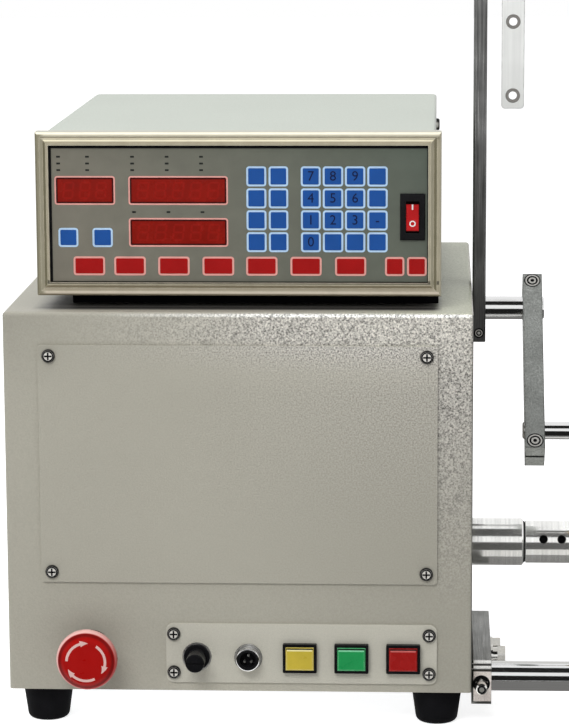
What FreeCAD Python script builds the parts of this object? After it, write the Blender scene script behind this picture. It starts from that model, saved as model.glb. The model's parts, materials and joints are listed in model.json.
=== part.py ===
"""Wire coil winding machine: a bench cabinet with a winding spindle, a traverse and a tailstock rod.

A control box stands on the cabinet. The spindle leaves the cabinet's right side, driven by a belt
from a motor inside. A lead screw pushes the traverse rod, which carries the guide post and the drop
arm with the wire nozzle. Millimetres; +X to the right, -Y to the front, +Z up. The origin is on the
bench, under the middle of the whole machine.
"""

import FreeCAD, Part

import os
import re

import Sketcher
from FreeCAD import Placement, Rotation, Vector

SIZES = {
    # Clearances
    "running_gap": 0.05,
    "seat_gap": 0.1,
    "press_gap": 0.02,
    "free_gap": 0.4,
    # Cabinet
    "cabinet_width": 306.0,
    "cabinet_depth": 350.0,
    "cabinet_height": 253.0,
    "cabinet_sheet": 1.5,
    "cabinet_round": 2.5,
    "base_thickness": 2.5,
    "back_thickness": 1.5,
    "vent_length": 60.0,
    "vent_width": 5.0,
    "vent_pitch": 12.0,
    "vent_height": 150.0,
    "foot_height": 25.0,
    "foot_radius": 17.0,
    "foot_tip_radius": 13.5,
    "foot_round": 4.0,
    "foot_inset": 23.0,
    "plug_reach": 1.5,
    "plug_radius": 7.5,
    "plug_neck_radius": 5.0,
    "plug_neck_length": 6.0,
    "plug_depth": 200.0,
    "plug_height": 152.0,
    # Access cover on the front
    "cover_width": 260.0,
    "cover_height": 158.0,
    "cover_thickness": 1.6,
    "cover_round": 2.0,
    "cover_drop": 21.5,
    "cover_lip": 16.0,
    "cover_screw_inset": 7.0,
    # Pan-head screws
    "screw_head_radius": 4.4,
    "screw_head_height": 2.4,
    "screw_head_round": 1.4,
    "screw_shank_radius": 2.0,
    "screw_shank_length": 8.0,
    "recess_length": 4.6,
    "recess_width": 1.0,
    "recess_depth": 1.3,
    # Plate with the fuse, the socket and three buttons
    "plate_width": 178.2,
    "plate_height": 40.0,
    "plate_thickness": 1.5,
    "plate_round": 4.5,
    "plate_lift": 6.0,
    "plate_screw_inset": 5.0,
    "plate_screw_margin": 7.0,
    "row_rise": 17.5,
    "row_left_margin": 20.2,
    "row_right_margin": 22.0,
    "fuse_ring_radius": 8.6,
    "fuse_ring_thickness": 2.0,
    "fuse_barrel_radius": 6.6,
    "fuse_barrel_length": 38.0,
    "fuse_bore_radius": 4.0,
    "fuse_bore_depth": 30.0,
    "fuse_cap_radius": 6.2,
    "fuse_cap_length": 16.0,
    "fuse_cap_round": 1.0,
    "fuse_slot_width": 1.0,
    "fuse_stem_length": 20.0,
    "socket_flange_radius": 9.2,
    "socket_flange_thickness": 1.5,
    "socket_radius": 7.8,
    "socket_reach": 8.0,
    "socket_bore_radius": 5.9,
    "socket_bore_depth": 6.5,
    "socket_tail_radius": 7.0,
    "socket_tail_length": 16.0,
    "socket_round": 1.0,
    "button_frame_width": 22.4,
    "button_frame_height": 19.4,
    "button_frame_depth": 3.6,
    "button_frame_floor": 0.8,
    "button_frame_round": 0.8,
    "button_barrel_radius": 8.0,
    "button_barrel_length": 28.0,
    "button_cap_width": 18.4,
    "button_cap_height": 15.4,
    "button_cap_proud": 1.2,
    "button_cap_round": 0.7,
    "button_travel": 1.8,
    "button_stem_radius": 4.0,
    "button_stem_length": 12.0,
    # Emergency stop
    "estop_side": 54.6,
    "estop_lift": 26.8,
    "estop_reach": 30.0,
    "estop_head_radius": 20.0,
    "estop_head_depth": 15.0,
    "estop_rim_depth": 5.0,
    "estop_dome_depth": 4.0,
    "estop_dome_radius": 14.0,
    "estop_rim_round": 1.5,
    "estop_neck_radius": 11.5,
    "estop_stem_radius": 5.0,
    "estop_stem_socket": 9.0,
    "estop_collar_radius": 14.0,
    "estop_collar_depth": 9.0,
    "estop_collar_round": 1.5,
    "estop_barrel_radius": 11.0,
    "estop_barrel_length": 20.0,
    "estop_block_width": 30.0,
    "estop_block_depth": 28.0,
    "estop_travel": 4.5,
    # Mains inlet at the back
    "inlet_flange": 3.0,
    "inlet_width": 48.0,
    "inlet_height": 28.0,
    "inlet_depth": 20.0,
    "inlet_core_width": 30.0,
    "inlet_core_height": 22.0,
    "inlet_wall": 2.5,
    "inlet_side": 60.0,
    "inlet_lift": 60.0,
    # Spindle and its bearing housing
    "spindle_back": 120.0,
    "spindle_lift": 74.3,
    "spindle_radius": 8.5,
    "sleeve_radius": 16.3,
    "sleeve_reach": 36.2,
    "sleeve_edge": 1.0,
    "housing_radius": 26.0,
    "housing_length": 70.0,
    "housing_flange_radius": 36.0,
    "housing_flange_thickness": 10.0,
    "bearing_radius": 20.0,
    "bearing_width": 12.0,
    "nose_radius": 14.6,
    "nose_length": 52.0,
    "nose_gap": 0.8,
    "nose_bore_radius": 6.0,
    "nose_bore_depth": 44.0,
    "nose_edge": 1.0,
    "grip_hole_radius": 3.0,
    "grip_hole_start": 13.0,
    "grip_hole_pitch": 12.5,
    "grip_hole_tilt": 20.0,
    # Brake, pulleys, belt and motor
    "brake_radius": 30.0,
    "brake_coil_length": 22.0,
    "brake_disc_thickness": 6.0,
    "brake_air_gap": 0.4,
    "pulley_gap": 3.0,
    "pulley_width": 22.0,
    "pulley_rim_thickness": 2.0,
    "pulley_rim_height": 4.0,
    "spindle_pulley_radius": 28.0,
    "motor_pulley_radius": 20.0,
    "spindle_tail": 5.0,
    "belt_width": 16.0,
    "belt_thickness": 2.4,
    "motor_back": 236.0,
    "motor_axis_lift": 50.0,
    "motor_radius": 40.0,
    "motor_length": 118.0,
    "motor_cap_length": 20.0,
    "motor_cap_radius": 41.5,
    "motor_foot_width": 70.0,
    "motor_shaft_radius": 7.0,
    "motor_shaft_depth": 20.0,
    # Mains transformer
    "transformer_side": 24.0,
    "transformer_back": 70.0,
    "transformer_width": 78.0,
    "transformer_depth": 92.0,
    "transformer_height": 66.0,
    "transformer_coil_width": 104.0,
    "transformer_coil_depth": 56.0,
    "transformer_coil_margin": 10.0,
    # Traverse drive under the cabinet's top
    "traverse_back": 140.0,
    "traverse_drop": 17.8,
    "traverse_travel": 130.0,
    "rod_radius": 8.0,
    "bush_radius": 10.2,
    "bush_flange_radius": 11.9,
    "bush_flange_thickness": 3.0,
    "bench_spare": 30.0,
    "bench_wall": 6.0,
    "bench_top_thickness": 4.0,
    "bench_front": 22.0,
    "bench_depth": 84.0,
    "bench_height": 64.0,
    "carriage_width": 24.0,
    "carriage_depth": 60.0,
    "carriage_height": 42.0,
    "carriage_front": 14.0,
    "carriage_rest": 4.0,
    "screw_behind": 30.0,
    "screw_drop": 36.0,
    "lead_screw_radius": 5.0,
    "lead_screw_socket": 12.0,
    "stepper_width": 57.0,
    "stepper_length": 56.0,
    "stepper_round": 5.0,
    # Guide post, upper rod and eyelet plate
    "post_gap": 0.5,
    "post_width": 9.0,
    "post_depth": 25.0,
    "post_below_rod": 22.0,
    "post_above_rod": 245.0,
    "post_round": 1.0,
    "slit_width": 1.6,
    "post_screw_drop": 15.8,
    "post_screw_head_radius": 3.3,
    "post_screw_head_depth": 3.6,
    "post_screw_radius": 1.9,
    "post_screw_margin": 1.5,
    "post_recess_radius": 1.7,
    "upper_rod_radius": 5.0,
    "upper_rod_reach": 60.0,
    "upper_rod_drop": 14.0,
    "eyelet_side": 19.3,
    "eyelet_plate_width": 15.4,
    "eyelet_plate_thickness": 2.0,
    "eyelet_plate_drop": 92.7,
    "eyelet_plate_round": 2.5,
    "eyelet_clamp_height": 20.0,
    "eyelet_clamp_depth": 18.0,
    "eyelet_first": 9.0,
    "eyelet_pitch": 50.0,
    "eyelet_flange_radius": 4.9,
    "eyelet_neck_radius": 3.9,
    "eyelet_bore_radius": 2.8,
    "eyelet_flange_thickness": 1.3,
    # Drop arm and nozzle
    "arm_side": 35.2,
    "arm_width": 13.2,
    "arm_thickness": 22.0,
    "arm_span": 102.0,
    "arm_end": 21.0,
    "arm_lean": 45.0,
    "arm_screw_inset": 5.6,
    "arm_screw_head_radius": 5.0,
    "arm_screw_head_depth": 5.0,
    "arm_screw_radius": 2.6,
    "arm_screw_length": 16.0,
    "arm_recess_radius": 2.6,
    "hex_recess_depth": 2.5,
    "rod_end_reach": 1.5,
    "nozzle_rod_radius": 6.0,
    "nozzle_rod_margin": 17.0,
    "nozzle_block_side": 70.0,
    "nozzle_block_width": 16.0,
    "nozzle_block_height": 22.0,
    "nozzle_tube_radius": 2.5,
    "nozzle_bore_radius": 0.8,
    "nozzle_tube_length": 46.0,
    "nozzle_edge": 1.0,
    "nozzle_tip_edge": 0.8,
    "nozzle_travel": 60.0,
    # Bracket and guide rod of the tailstock
    "guide_rod_reach": 300.0,
    "guide_rod_radius": 10.0,
    "guide_rod_back": 30.0,
    "guide_rod_lift": 3.6,
    "rod_edge": 1.2,
    "bracket_width": 13.2,
    "bracket_front": 10.0,
    "bracket_depth": 129.0,
    "bracket_height": 30.8,
    "bracket_drop": 11.0,
    "bracket_chamfer": 2.5,
    "bracket_edge": 1.3,
    "bracket_line_drop": 3.4,
    "bracket_slot_drop": 7.0,
    "bracket_slot_height": 0.9,
    "bracket_slot_depth": 1.0,
    "bracket_screw_head_radius": 3.7,
    "bracket_screw_head_depth": 15.0,
    "bracket_nut_corners": 4.6,
    "bracket_nut_height": 5.0,
    "bracket_screw_radius": 3.0,
    "bracket_recess_radius": 2.5,
    "bolt_back": 52.0,
    "bolt_pitch": 21.0,
    "bolt_lift": 10.6,
    "bolt_across_corners": 7.5,
    "bolt_head_height": 5.3,
    "bolt_radius": 4.0,
    "bolt_tail": 4.0,
    "washer_radius": 8.0,
    "washer_thickness": 1.6,
    "spacer_radius": 6.5,
    "spacer_thickness": 3.0,
    # Tailstock
    "tailstock_side": 190.0,
    "tailstock_width": 46.0,
    "tailstock_boss_radius": 17.0,
    "tailstock_web_width": 16.0,
    "tailstock_web_height": 22.0,
    "quill_radius": 9.0,
    "quill_travel": 22.0,
    "quill_nose": 8.0,
    "quill_socket_radius": 5.0,
    "quill_socket_depth": 26.0,
    "knob_radius": 16.0,
    "knob_length": 12.0,
    "knob_round": 2.0,
    "centre_radius": 8.0,
    "centre_neck": 6.0,
    "centre_point_length": 14.0,
    "centre_stem_length": 22.0,
    # Control box
    "box_overhang": 2.0,
    "box_setback": 17.0,
    "box_lift": 8.3,
    "box_height": 107.0,
    "box_depth": 320.0,
    "bezel_depth": 13.0,
    "bezel_border": 8.6,
    "bezel_round": 2.0,
    "bezel_recess": 3.0,
    "bezel_lip": 2.5,
    "bezel_groove_inset": 3.0,
    "bezel_groove_floor": 0.2,
    "bezel_groove_depth": 1.9,
    "case_inset": 4.0,
    "case_top_inset": 1.5,
    "case_floor": 2.0,
    "case_sheet": 1.2,
    "case_round": 6.0,
    "case_top_round": 2.0,
    "tray_thickness": 1.5,
    "case_screw_back": 24.0,
    "case_screw_margin": 14.0,
    "case_screw_drop": 20.7,
    "box_foot_radius": 9.0,
    "box_foot_inset": 26.0,
    # Keypad panel, windows and rocker switch; the windows are placed from the box's left side
    "panel_thickness": 2.0,
    "window_height": 16.4,
    "lens_gap": 0.2,
    "lens_thickness": 2.6,
    "short_window_side": 13.5,
    "short_window_width": 37.1,
    "long_window_side": 61.8,
    "long_window_width": 62.4,
    "upper_window_lift": 60.6,
    "lower_window_lift": 33.2,
    "module_depth": 8.0,
    "module_margin": 0.6,
    "stud_radius": 3.0,
    "stud_inset": 8.0,
    "stud_right_inset": 24.0,
    "board_margin": 3.0,
    "board_thickness": 1.6,
    "rocker_margin": 18.7,
    "rocker_lift": 51.8,
    "rocker_frame_width": 16.2,
    "rocker_frame_height": 30.4,
    "rocker_frame_depth": 1.8,
    "rocker_body_width": 13.2,
    "rocker_body_height": 26.0,
    "rocker_body_depth": 24.0,
    "rocker_width": 8.2,
    "rocker_half": 8.9,
    "rocker_peak": 4.2,
    "rocker_valley": 1.9,
    "rocker_low": 1.0,
    "rocker_root": 4.0,
    "rocker_root_half": 5.5,
    "rocker_pocket_depth": 7.5,
    "rocker_pocket_half": 10.4,
    "rocker_pivot_depth": 3.0,
    "rocker_pin_radius": 1.2,
    "rocker_pin_reach": 1.5,
}

# Counts of repeated features.
VENT_COUNT = 6
ROW_COUNT = 5
GRIP_HOLE_COUNT = 3
EYELET_COUNT = 2

# Places worked out from the sizes, as formulas of the sheet.
LEFT = "((plug_reach-cabinet_width-guide_rod_reach)/2)"
RIGHT = f"({LEFT}+cabinet_width)"
FRONT = "((estop_reach-inlet_flange-cabinet_depth)/2)"
BACK = f"({FRONT}+cabinet_depth)"
BASE = "foot_height"
TOP = "(foot_height+cabinet_height)"
INNER_RIGHT = f"({RIGHT}-cabinet_sheet)"
COVER_LEFT = f"({LEFT}+(cabinet_width-cover_width)/2)"
COVER_BASE = f"({TOP}-cover_drop-cover_height)"
PLATE_LEFT = f"({COVER_LEFT}+cover_width-plate_width)"
PLATE_BASE = f"({BASE}+plate_lift)"
PLATE_FACE = f"({FRONT}-plate_thickness)"
ROW_PITCH = f"((plate_width-row_left_margin-row_right_margin)/{ROW_COUNT - 1})"
ROW = [f"({PLATE_LEFT}+row_left_margin+{number}*{ROW_PITCH})" for number in range(ROW_COUNT)]
FUSE_PLACE, SOCKET_PLACE, *BUTTON_PLACES = ROW
ROW_HEIGHT = f"({PLATE_BASE}+row_rise)"
CAP_DEPTH = "(button_frame_depth+button_cap_proud-button_travel-free_gap-button_frame_floor)"
SPINDLE_DEPTH = f"({FRONT}+spindle_back)"
SPINDLE_HEIGHT = f"({BASE}+spindle_lift)"
HOUSING_END = f"({INNER_RIGHT}-housing_length)"
BEARING_STARTS = (HOUSING_END, f"({INNER_RIGHT}-bearing_width-housing_flange_thickness)")
DISC_RIGHT = f"({HOUSING_END}-brake_coil_length-brake_air_gap)"
DISC_LEFT = f"({DISC_RIGHT}-brake_disc_thickness)"
PULLEY_LEFT = f"({DISC_LEFT}-pulley_gap-pulley_width)"
SPINDLE_END = f"({PULLEY_LEFT}-spindle_tail)"
NOSE_START = f"({RIGHT}+sleeve_reach+nose_gap)"
NOSE_END = f"({NOSE_START}+nose_length)"
MOTOR_DEPTH = f"({FRONT}+motor_back)"
MOTOR_HEIGHT = f"({BASE}+motor_axis_lift)"
MOTOR_FACE = f"({PULLEY_LEFT}-pulley_gap)"
ROD_DEPTH = f"({FRONT}+traverse_back)"
ROD_HEIGHT = f"({TOP}-traverse_drop)"
BENCH_TOP = f"({TOP}-cabinet_sheet)"
BENCH_LENGTH = "(2*bench_wall+carriage_rest+carriage_width+traverse_travel+bench_spare)"
BENCH_LEFT = f"({INNER_RIGHT}-{BENCH_LENGTH})"
CARRIAGE_LEFT = f"({BENCH_LEFT}+bench_wall+carriage_rest)"
SCREW_DEPTH = f"({ROD_DEPTH}+screw_behind)"
SCREW_HEIGHT = f"({TOP}-screw_drop)"
POST_LEFT = f"({RIGHT}+post_gap)"
POST_TOP = f"({ROD_HEIGHT}+post_above_rod)"
UPPER_HEIGHT = f"({POST_TOP}-upper_rod_drop)"
EYELET_LEFT = f"({RIGHT}+eyelet_side)"
EYELET_FACE = f"({ROD_DEPTH}-eyelet_clamp_depth/2)"
EYELET_FOOT = f"({UPPER_HEIGHT}-eyelet_plate_drop)"
EYELET_CENTRES = [f"({EYELET_FOOT}+eyelet_first+{number}*eyelet_pitch)" for number in range(EYELET_COUNT)]
ARM_LEFT = f"({RIGHT}+arm_side)"
ARM_MIDDLE = f"({ARM_LEFT}+arm_width/2)"
ARM_ENDS = ("-arm_end", "(arm_span+arm_end)")
ARM_SCREWS = ("(arm_screw_inset-arm_end)", "(arm_span+arm_end-arm_screw_inset)")
ARM_DOWN = "(arm_span*sin(arm_lean))"
ARM_FORWARD = "(arm_span*cos(arm_lean))"
NOZZLE_DEPTH = f"({ROD_DEPTH}-{ARM_FORWARD})"
NOZZLE_HEIGHT = f"({ROD_HEIGHT}-{ARM_DOWN})"
NOZZLE_LEFT = f"({RIGHT}+nozzle_block_side)"
NOZZLE_ROD_LEFT = f"({ARM_LEFT}-rod_end_reach)"
GUIDE_DEPTH = f"({FRONT}+guide_rod_back)"
GUIDE_HEIGHT = f"({BASE}+guide_rod_lift)"
TAIL_LEFT = f"({RIGHT}+tailstock_side)"
BOX_WIDTH = "(cover_width+2*box_overhang)"
BOX_LEFT = f"({COVER_LEFT}-box_overhang)"
BOX_FRONT = f"({FRONT}+box_setback)"
BOX_BASE = f"({TOP}+box_lift)"
CASE_LEFT = f"({BOX_LEFT}+case_inset)"
CASE_WIDTH = f"({BOX_WIDTH}-2*case_inset)"
CASE_BASE = f"({BOX_BASE}+case_floor)"
CASE_HEIGHT = "(box_height-case_floor-case_top_inset)"
CASE_FRONT = f"({BOX_FRONT}+bezel_depth)"
PANEL_FACE = f"({BOX_FRONT}+bezel_recess)"
PANEL_BACK = f"({PANEL_FACE}+panel_thickness)"
BOARD_FRONT = f"({PANEL_FACE}+lens_thickness+seat_gap+module_depth)"
ROCKER_PLACE = f"({BOX_LEFT}+{BOX_WIDTH}-rocker_margin)"
ROCKER_DEPTH = f"({PANEL_FACE}-rocker_frame_depth)"
ROCKER_HEIGHT = f"({BOX_BASE}+rocker_lift)"
ROCKER_PIVOT = f"({ROCKER_DEPTH}+rocker_pivot_depth)"
BOLT_HEIGHT = f"({BASE}+bolt_lift)"
BOLTS = ((f"({FRONT}+bolt_back)", "spacer_thickness"), (f"({FRONT}+bolt_back+bolt_pitch)", "0"))
SCREW_HOLE = "(screw_shank_radius+seat_gap)"
COVER_SCREWS = [
    (f"({COVER_LEFT}+{across})", f"({COVER_BASE}+{up})")
    for across in ("cover_screw_inset", "(cover_width-cover_screw_inset)")
    for up in ("cover_screw_inset", "(cover_height-cover_screw_inset)")
]
PLATE_SCREWS = [
    (f"({PLATE_LEFT}+{across})", f"({PLATE_BASE}+{up})")
    for across in ("plate_screw_inset", "(plate_width-plate_screw_inset)")
    for up in ("plate_screw_margin", "(plate_height-plate_screw_margin)")
]
CASE_SCREWS = [
    (f"({CASE_FRONT}+{back})", f"({CASE_BASE}+{up})")
    for back in ("case_screw_margin", "(box_depth-bezel_depth-case_screw_back)")
    for up in ("case_screw_margin", f"({CASE_HEIGHT}-case_screw_drop)")
]
WINDOWS = (
    ("short", "short_window_side", "short_window_width", "upper_window_lift"),
    ("upper", "long_window_side", "long_window_width", "upper_window_lift"),
    ("lower", "long_window_side", "long_window_width", "lower_window_lift"),
)

# Turns that lead an object's own X axis along an axis of the machine.
TURNS = {
    "x": Rotation(),
    "-x": Rotation(Vector(0, 0, 1), 180),
    "y": Rotation(Vector(0, 0, 1), 90),
    "-y": Rotation(Vector(0, 0, 1), -90),
    "z": Rotation(Vector(0, 1, 0), -90),
}
UPRIGHT_TO_X = Rotation(Vector(0, 1, 0), 90)
WORD = re.compile(r"[a-z][a-z_0-9]*")

doc = FreeCAD.newDocument("WireCoilWindingMachine")
sheet = doc.addObject("Spreadsheet::Sheet", "Sizes")
for row, (alias, number) in enumerate(SIZES.items(), 1):
    sheet.set(f"A{row}", alias)
    sheet.set(f"B{row}", str(number))
    sheet.setAlias(f"B{row}", alias)
doc.recompute()
nodes = []


def with_sheet(formula):
    """The formula with each size pointed at its cell of the sheet."""
    return WORD.sub(lambda word: f"Sizes.{word[0]}" if word[0] in SIZES else word[0], formula)


def value(formula):
    """The number that a formula gives now."""
    return float(sheet.evalExpression(with_sheet(formula)))


def bind(item, prop, formula):
    """Bind a property to a formula of the sheet."""
    item.setExpression(prop, with_sheet(formula))


def add(kind, label):
    """A new object of the document."""
    item = doc.addObject(kind, label)
    item.Label = label
    return item


def place(item, point, turn=None):
    """Turn an object and bind its place to three formulas."""
    item.Placement = Placement(Vector(), turn or Rotation())
    for axis, formula in zip("xyz", point):
        bind(item, f"Placement.Base.{axis}", formula)
    return item


def node(label, item):
    """Mark an object as a finished sub-part under its own label."""
    item.Label = label
    nodes.append(item)
    return item


def shift(point, along="0", back="0", up="0"):
    """A point moved by three formulas."""
    moves = (along, back, up)
    return tuple(f"({start}+{move})" for start, move in zip(point, moves))


def box(label, size, corner):
    """A box from its lowest corner."""
    item = add("Part::Box", label)
    for prop, formula in zip(("Length", "Width", "Height"), size):
        bind(item, prop, formula)
    return place(item, corner)


def upright_rod(label, radius, length):
    """A round bar that stands on the origin."""
    item = add("Part::Cylinder", label)
    bind(item, "Radius", radius)
    bind(item, "Height", length)
    return item


def upright_hexagon(label, corner_radius, length):
    """A six-sided bar that stands on the origin."""
    item = add("Part::Prism", label)
    item.Polygon = 6
    bind(item, "Circumradius", corner_radius)
    bind(item, "Height", length)
    return item


def rod(label, radius, length, start, axis="x"):
    """A round bar from a start point along an axis of the machine."""
    return place(upright_rod(label, radius, length), start, TURNS[axis] * UPRIGHT_TO_X)


def hexagon(label, corner_radius, length, start, axis="x"):
    """A six-sided bar from a start point along an axis of the machine."""
    return place(upright_hexagon(label, corner_radius, length), start, TURNS[axis] * UPRIGHT_TO_X)


def tip(item, start, angle):
    """Tip an upright bar about the X axis by a bound angle, from a start point."""
    place(item, start, Rotation(Vector(1, 0, 0), 45))
    bind(item, "Placement.Rotation.Angle", angle)
    return item


def fuse(label, *parts):
    """Several solids as one."""
    item = add("Part::MultiFuse", label)
    item.Shapes = list(parts)
    item.Refine = True
    return item


def cut(label, base, *tools):
    """A solid less its tools."""
    tool = tools[0] if len(tools) == 1 else fuse(f"{label}_tools", *tools)
    item = add("Part::Cut", label)
    item.Base = base
    item.Tool = tool
    item.Refine = True
    return item


def group(label, parts):
    """Separate solids that share one sub-part."""
    item = add("Part::Compound", label)
    item.Links = list(parts)
    return item


def polygon(body, label, corners, plane):
    """A closed sketch on an origin plane of a body, its corners bound to pairs of formulas."""
    sketch = body.newObject("Sketcher::SketchObject", f"{label}_outline")
    origin = next(item for item in body.Origin.OriginFeatures if item.Role == plane)
    sketch.AttachmentSupport = [(origin, "")]
    sketch.MapMode = "FlatFace"
    points = [Vector(value(across), value(up), 0) for across, up in corners]
    for start, end in zip(points, points[1:] + points[:1]):
        sketch.addGeometry(Part.LineSegment(start, end), False)
    for side in range(len(points)):
        sketch.addConstraint(Sketcher.Constraint("Coincident", side, 2, (side + 1) % len(points), 1))
    for side, (pair, point) in enumerate(zip(corners, points)):
        for kind, formula, length in zip(("DistanceX", "DistanceY"), pair, point):
            number = sketch.addConstraint(Sketcher.Constraint(kind, -1, 1, side, 1, length))
            sketch.setExpression(f"Constraints[{number}]", with_sheet(formula))
    return sketch


def round_off(body, base, edges, radius, kind="Fillet"):
    """Fillet or chamfer some edges of a body's last feature."""
    dressing = body.newObject(f"PartDesign::{kind}", f"{body.Label}_{kind.lower()}")
    dressing.Base = (base, edges)
    bind(dressing, "Radius" if kind == "Fillet" else "Size", radius)
    doc.recompute()
    return dressing


def block(label, size, corner, dressings):
    """A box with dressed edges; each dressing is its radius, its edges and perhaps its kind.

    An edge is named by the two faces that it joins, such as "front top".
    """
    body = add("PartDesign::Body", label)
    width, depth, height = size
    corners = (("0", "0"), (width, "0"), (width, depth), ("0", depth))
    pad = body.newObject("PartDesign::Pad", f"{label}_pad")
    pad.Profile = polygon(body, label, corners, "XY_Plane")
    bind(pad, "Length", height)
    doc.recompute()
    spans = [value(formula) for formula in size]
    sides = {"left": (0, 0), "right": (0, spans[0]), "front": (1, 0), "back": (1, spans[1]),
             "bottom": (2, 0), "top": (2, spans[2])}
    last = pad
    for radius, names, *kind in dressings:
        wanted = []
        for number, edge in enumerate(last.Shape.Edges, 1):
            on = [all(abs(vertex.Point[sides[side][0]] - sides[side][1]) < 1e-6 for vertex in edge.Vertexes)
                  for side in sides]
            touching = {side for side, flag in zip(sides, on) if flag}
            if any(set(name.split()) <= touching for name in names):
                wanted.append(f"Edge{number}")
        last = round_off(body, last, wanted, radius, *kind)
    return place(body, corner)


def turned(label, profile, start, axis="x", dressings=()):
    """A turned piece: half-profile corners as (along, radius); dressings as (size, corner numbers, kind)."""
    body = add("PartDesign::Body", label)
    revolution = body.newObject("PartDesign::Revolution", f"{label}_turning")
    sketch = polygon(body, label, profile, "XY_Plane")
    revolution.Profile = sketch
    revolution.ReferenceAxis = (sketch, ["H_Axis"])
    revolution.Angle = 360
    doc.recompute()
    last = revolution
    for size, numbers, kind in dressings:
        wanted = []
        for number in numbers:
            along, radius = (value(formula) for formula in profile[number])
            for rank, edge in enumerate(last.Shape.Edges, 1):
                circle = edge.Curve
                if not isinstance(circle, Part.Circle):
                    continue
                if abs(circle.Radius - radius) < 1e-6 and abs(circle.Center.x - along) < 1e-6:
                    wanted.append(f"Edge{rank}")
        last = round_off(body, last, wanted, size, kind)
    return place(body, start, TURNS[axis])


def link(label, tail, head, half_width, thickness, left):
    """A flat bar in the YZ plane from a tail point to a head point, each a pair of formulas."""
    run = f"({head[0]}-{tail[0]})"
    rise = f"({head[1]}-{tail[1]})"
    span = f"sqrt({run}*{run}+{rise}*{rise})"
    side_run = f"({half_width}*{rise}/{span})"
    side_rise = f"({half_width}*{run}/{span})"
    corners = [
        (f"{tail[0]}-{side_run}", f"{tail[1]}+{side_rise}"),
        (f"{head[0]}-{side_run}", f"{head[1]}+{side_rise}"),
        (f"{head[0]}+{side_run}", f"{head[1]}-{side_rise}"),
        (f"{tail[0]}+{side_run}", f"{tail[1]}-{side_rise}"),
    ]
    body = add("PartDesign::Body", label)
    pad = body.newObject("PartDesign::Pad", f"{label}_pad")
    pad.Profile = polygon(body, label, corners, "YZ_Plane")
    bind(pad, "Length", thickness)
    doc.recompute()
    return place(body, (left, "0", "0"))


def pan_screw(label, seat, axis):
    """A pan-head screw with a cross recess; its axis leads from the head's top into the hole."""
    into = {"x": (1, 0), "-x": (-1, 0), "y": (0, 1)}[axis]
    start = shift(seat, f"-({into[0]})*screw_head_height", f"-({into[1]})*screw_head_height")
    profile = (("0", "0"), ("0", "screw_head_radius"), ("screw_head_height", "screw_head_radius"),
               ("screw_head_height", "screw_shank_radius"),
               ("screw_head_height+screw_shank_length", "screw_shank_radius"),
               ("screw_head_height+screw_shank_length", "0"))
    screw = turned(f"{label}_turned", profile, start, axis, [("screw_head_round", [1], "Fillet")])
    length, width, depth = "recess_length", "recess_width", "(2*recess_depth)"
    flat = (depth, length) if into[0] else (length, depth)
    thin = (depth, width) if into[0] else (width, depth)
    bars = []
    for name, (along, back), up in (("flat", flat, width), ("tall", thin, length)):
        corner = shift(start, f"-{along}/2", f"-{back}/2", f"-{up}/2")
        bars.append(box(f"{label}_{name}", (along, back, up), corner))
    return cut(label, screw, *bars)


def cabinet_shell():
    """Folded sheet: front, sides and top, open below and behind."""
    outer = block(
        "shell_outer", ("cabinet_width", "cabinet_depth", "cabinet_height"), (LEFT, FRONT, BASE),
        [("cabinet_round", ("front left", "front right", "front top", "left top", "right top"))],
    )
    inside = box(
        "shell_inside", ("cabinet_width-2*cabinet_sheet", "cabinet_depth", "cabinet_height-cabinet_sheet"),
        (f"{LEFT}+cabinet_sheet", f"{FRONT}+cabinet_sheet", BASE),
    )
    access = box(
        "shell_access", ("cover_width-2*cover_lip", "4*cabinet_sheet", "cover_height-2*cover_lip"),
        (f"{COVER_LEFT}+cover_lip", f"{FRONT}-cabinet_sheet", f"{COVER_BASE}+cover_lip"),
    )
    through, front = "4*cabinet_sheet", f"({FRONT}-cabinet_sheet)"
    holes = [rod(f"shell_screw_hole_{number}", SCREW_HOLE, through, (across, front, up), "y")
             for number, (across, up) in enumerate(COVER_SCREWS + PLATE_SCREWS)]
    for number, across in enumerate(BUTTON_PLACES):
        holes.append(rod(f"shell_button_hole_{number}", "button_barrel_radius+free_gap", through,
                         (across, front, ROW_HEIGHT), "y"))
    for name, radius, across, up in (
        ("fuse", "fuse_barrel_radius+free_gap", FUSE_PLACE, ROW_HEIGHT),
        ("socket", "socket_tail_radius+free_gap", SOCKET_PLACE, ROW_HEIGHT),
        ("estop", "estop_barrel_radius+seat_gap", f"{LEFT}+estop_side", f"{BASE}+estop_lift"),
    ):
        holes.append(rod(f"shell_{name}_hole", radius, through, (across, front, up), "y"))
    side = f"({RIGHT}-2*cabinet_sheet)"
    for name, radius, depth, up in (
        ("sleeve", "sleeve_radius+seat_gap", SPINDLE_DEPTH, SPINDLE_HEIGHT),
        ("bush", "bush_radius+seat_gap", ROD_DEPTH, ROD_HEIGHT),
        ("front_bolt", "bolt_radius+seat_gap", BOLTS[0][0], BOLT_HEIGHT),
        ("back_bolt", "bolt_radius+seat_gap", BOLTS[1][0], BOLT_HEIGHT),
    ):
        holes.append(rod(f"shell_{name}_hole", radius, through, (side, depth, up)))
    holes.append(rod("shell_plug_hole", "plug_neck_radius+seat_gap", through,
                     (f"{LEFT}-cabinet_sheet", f"{FRONT}+plug_depth", f"{BASE}+plug_height")))
    return cut("cabinet_shell", outer, inside, access, *holes)


def base_plate():
    """Floor of the cabinet, between its sides."""
    return box(
        "base_plate", ("cabinet_width-2*cabinet_sheet", "cabinet_depth-cabinet_sheet", "base_thickness"),
        (f"{LEFT}+cabinet_sheet", f"{FRONT}+cabinet_sheet", BASE),
    )


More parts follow.
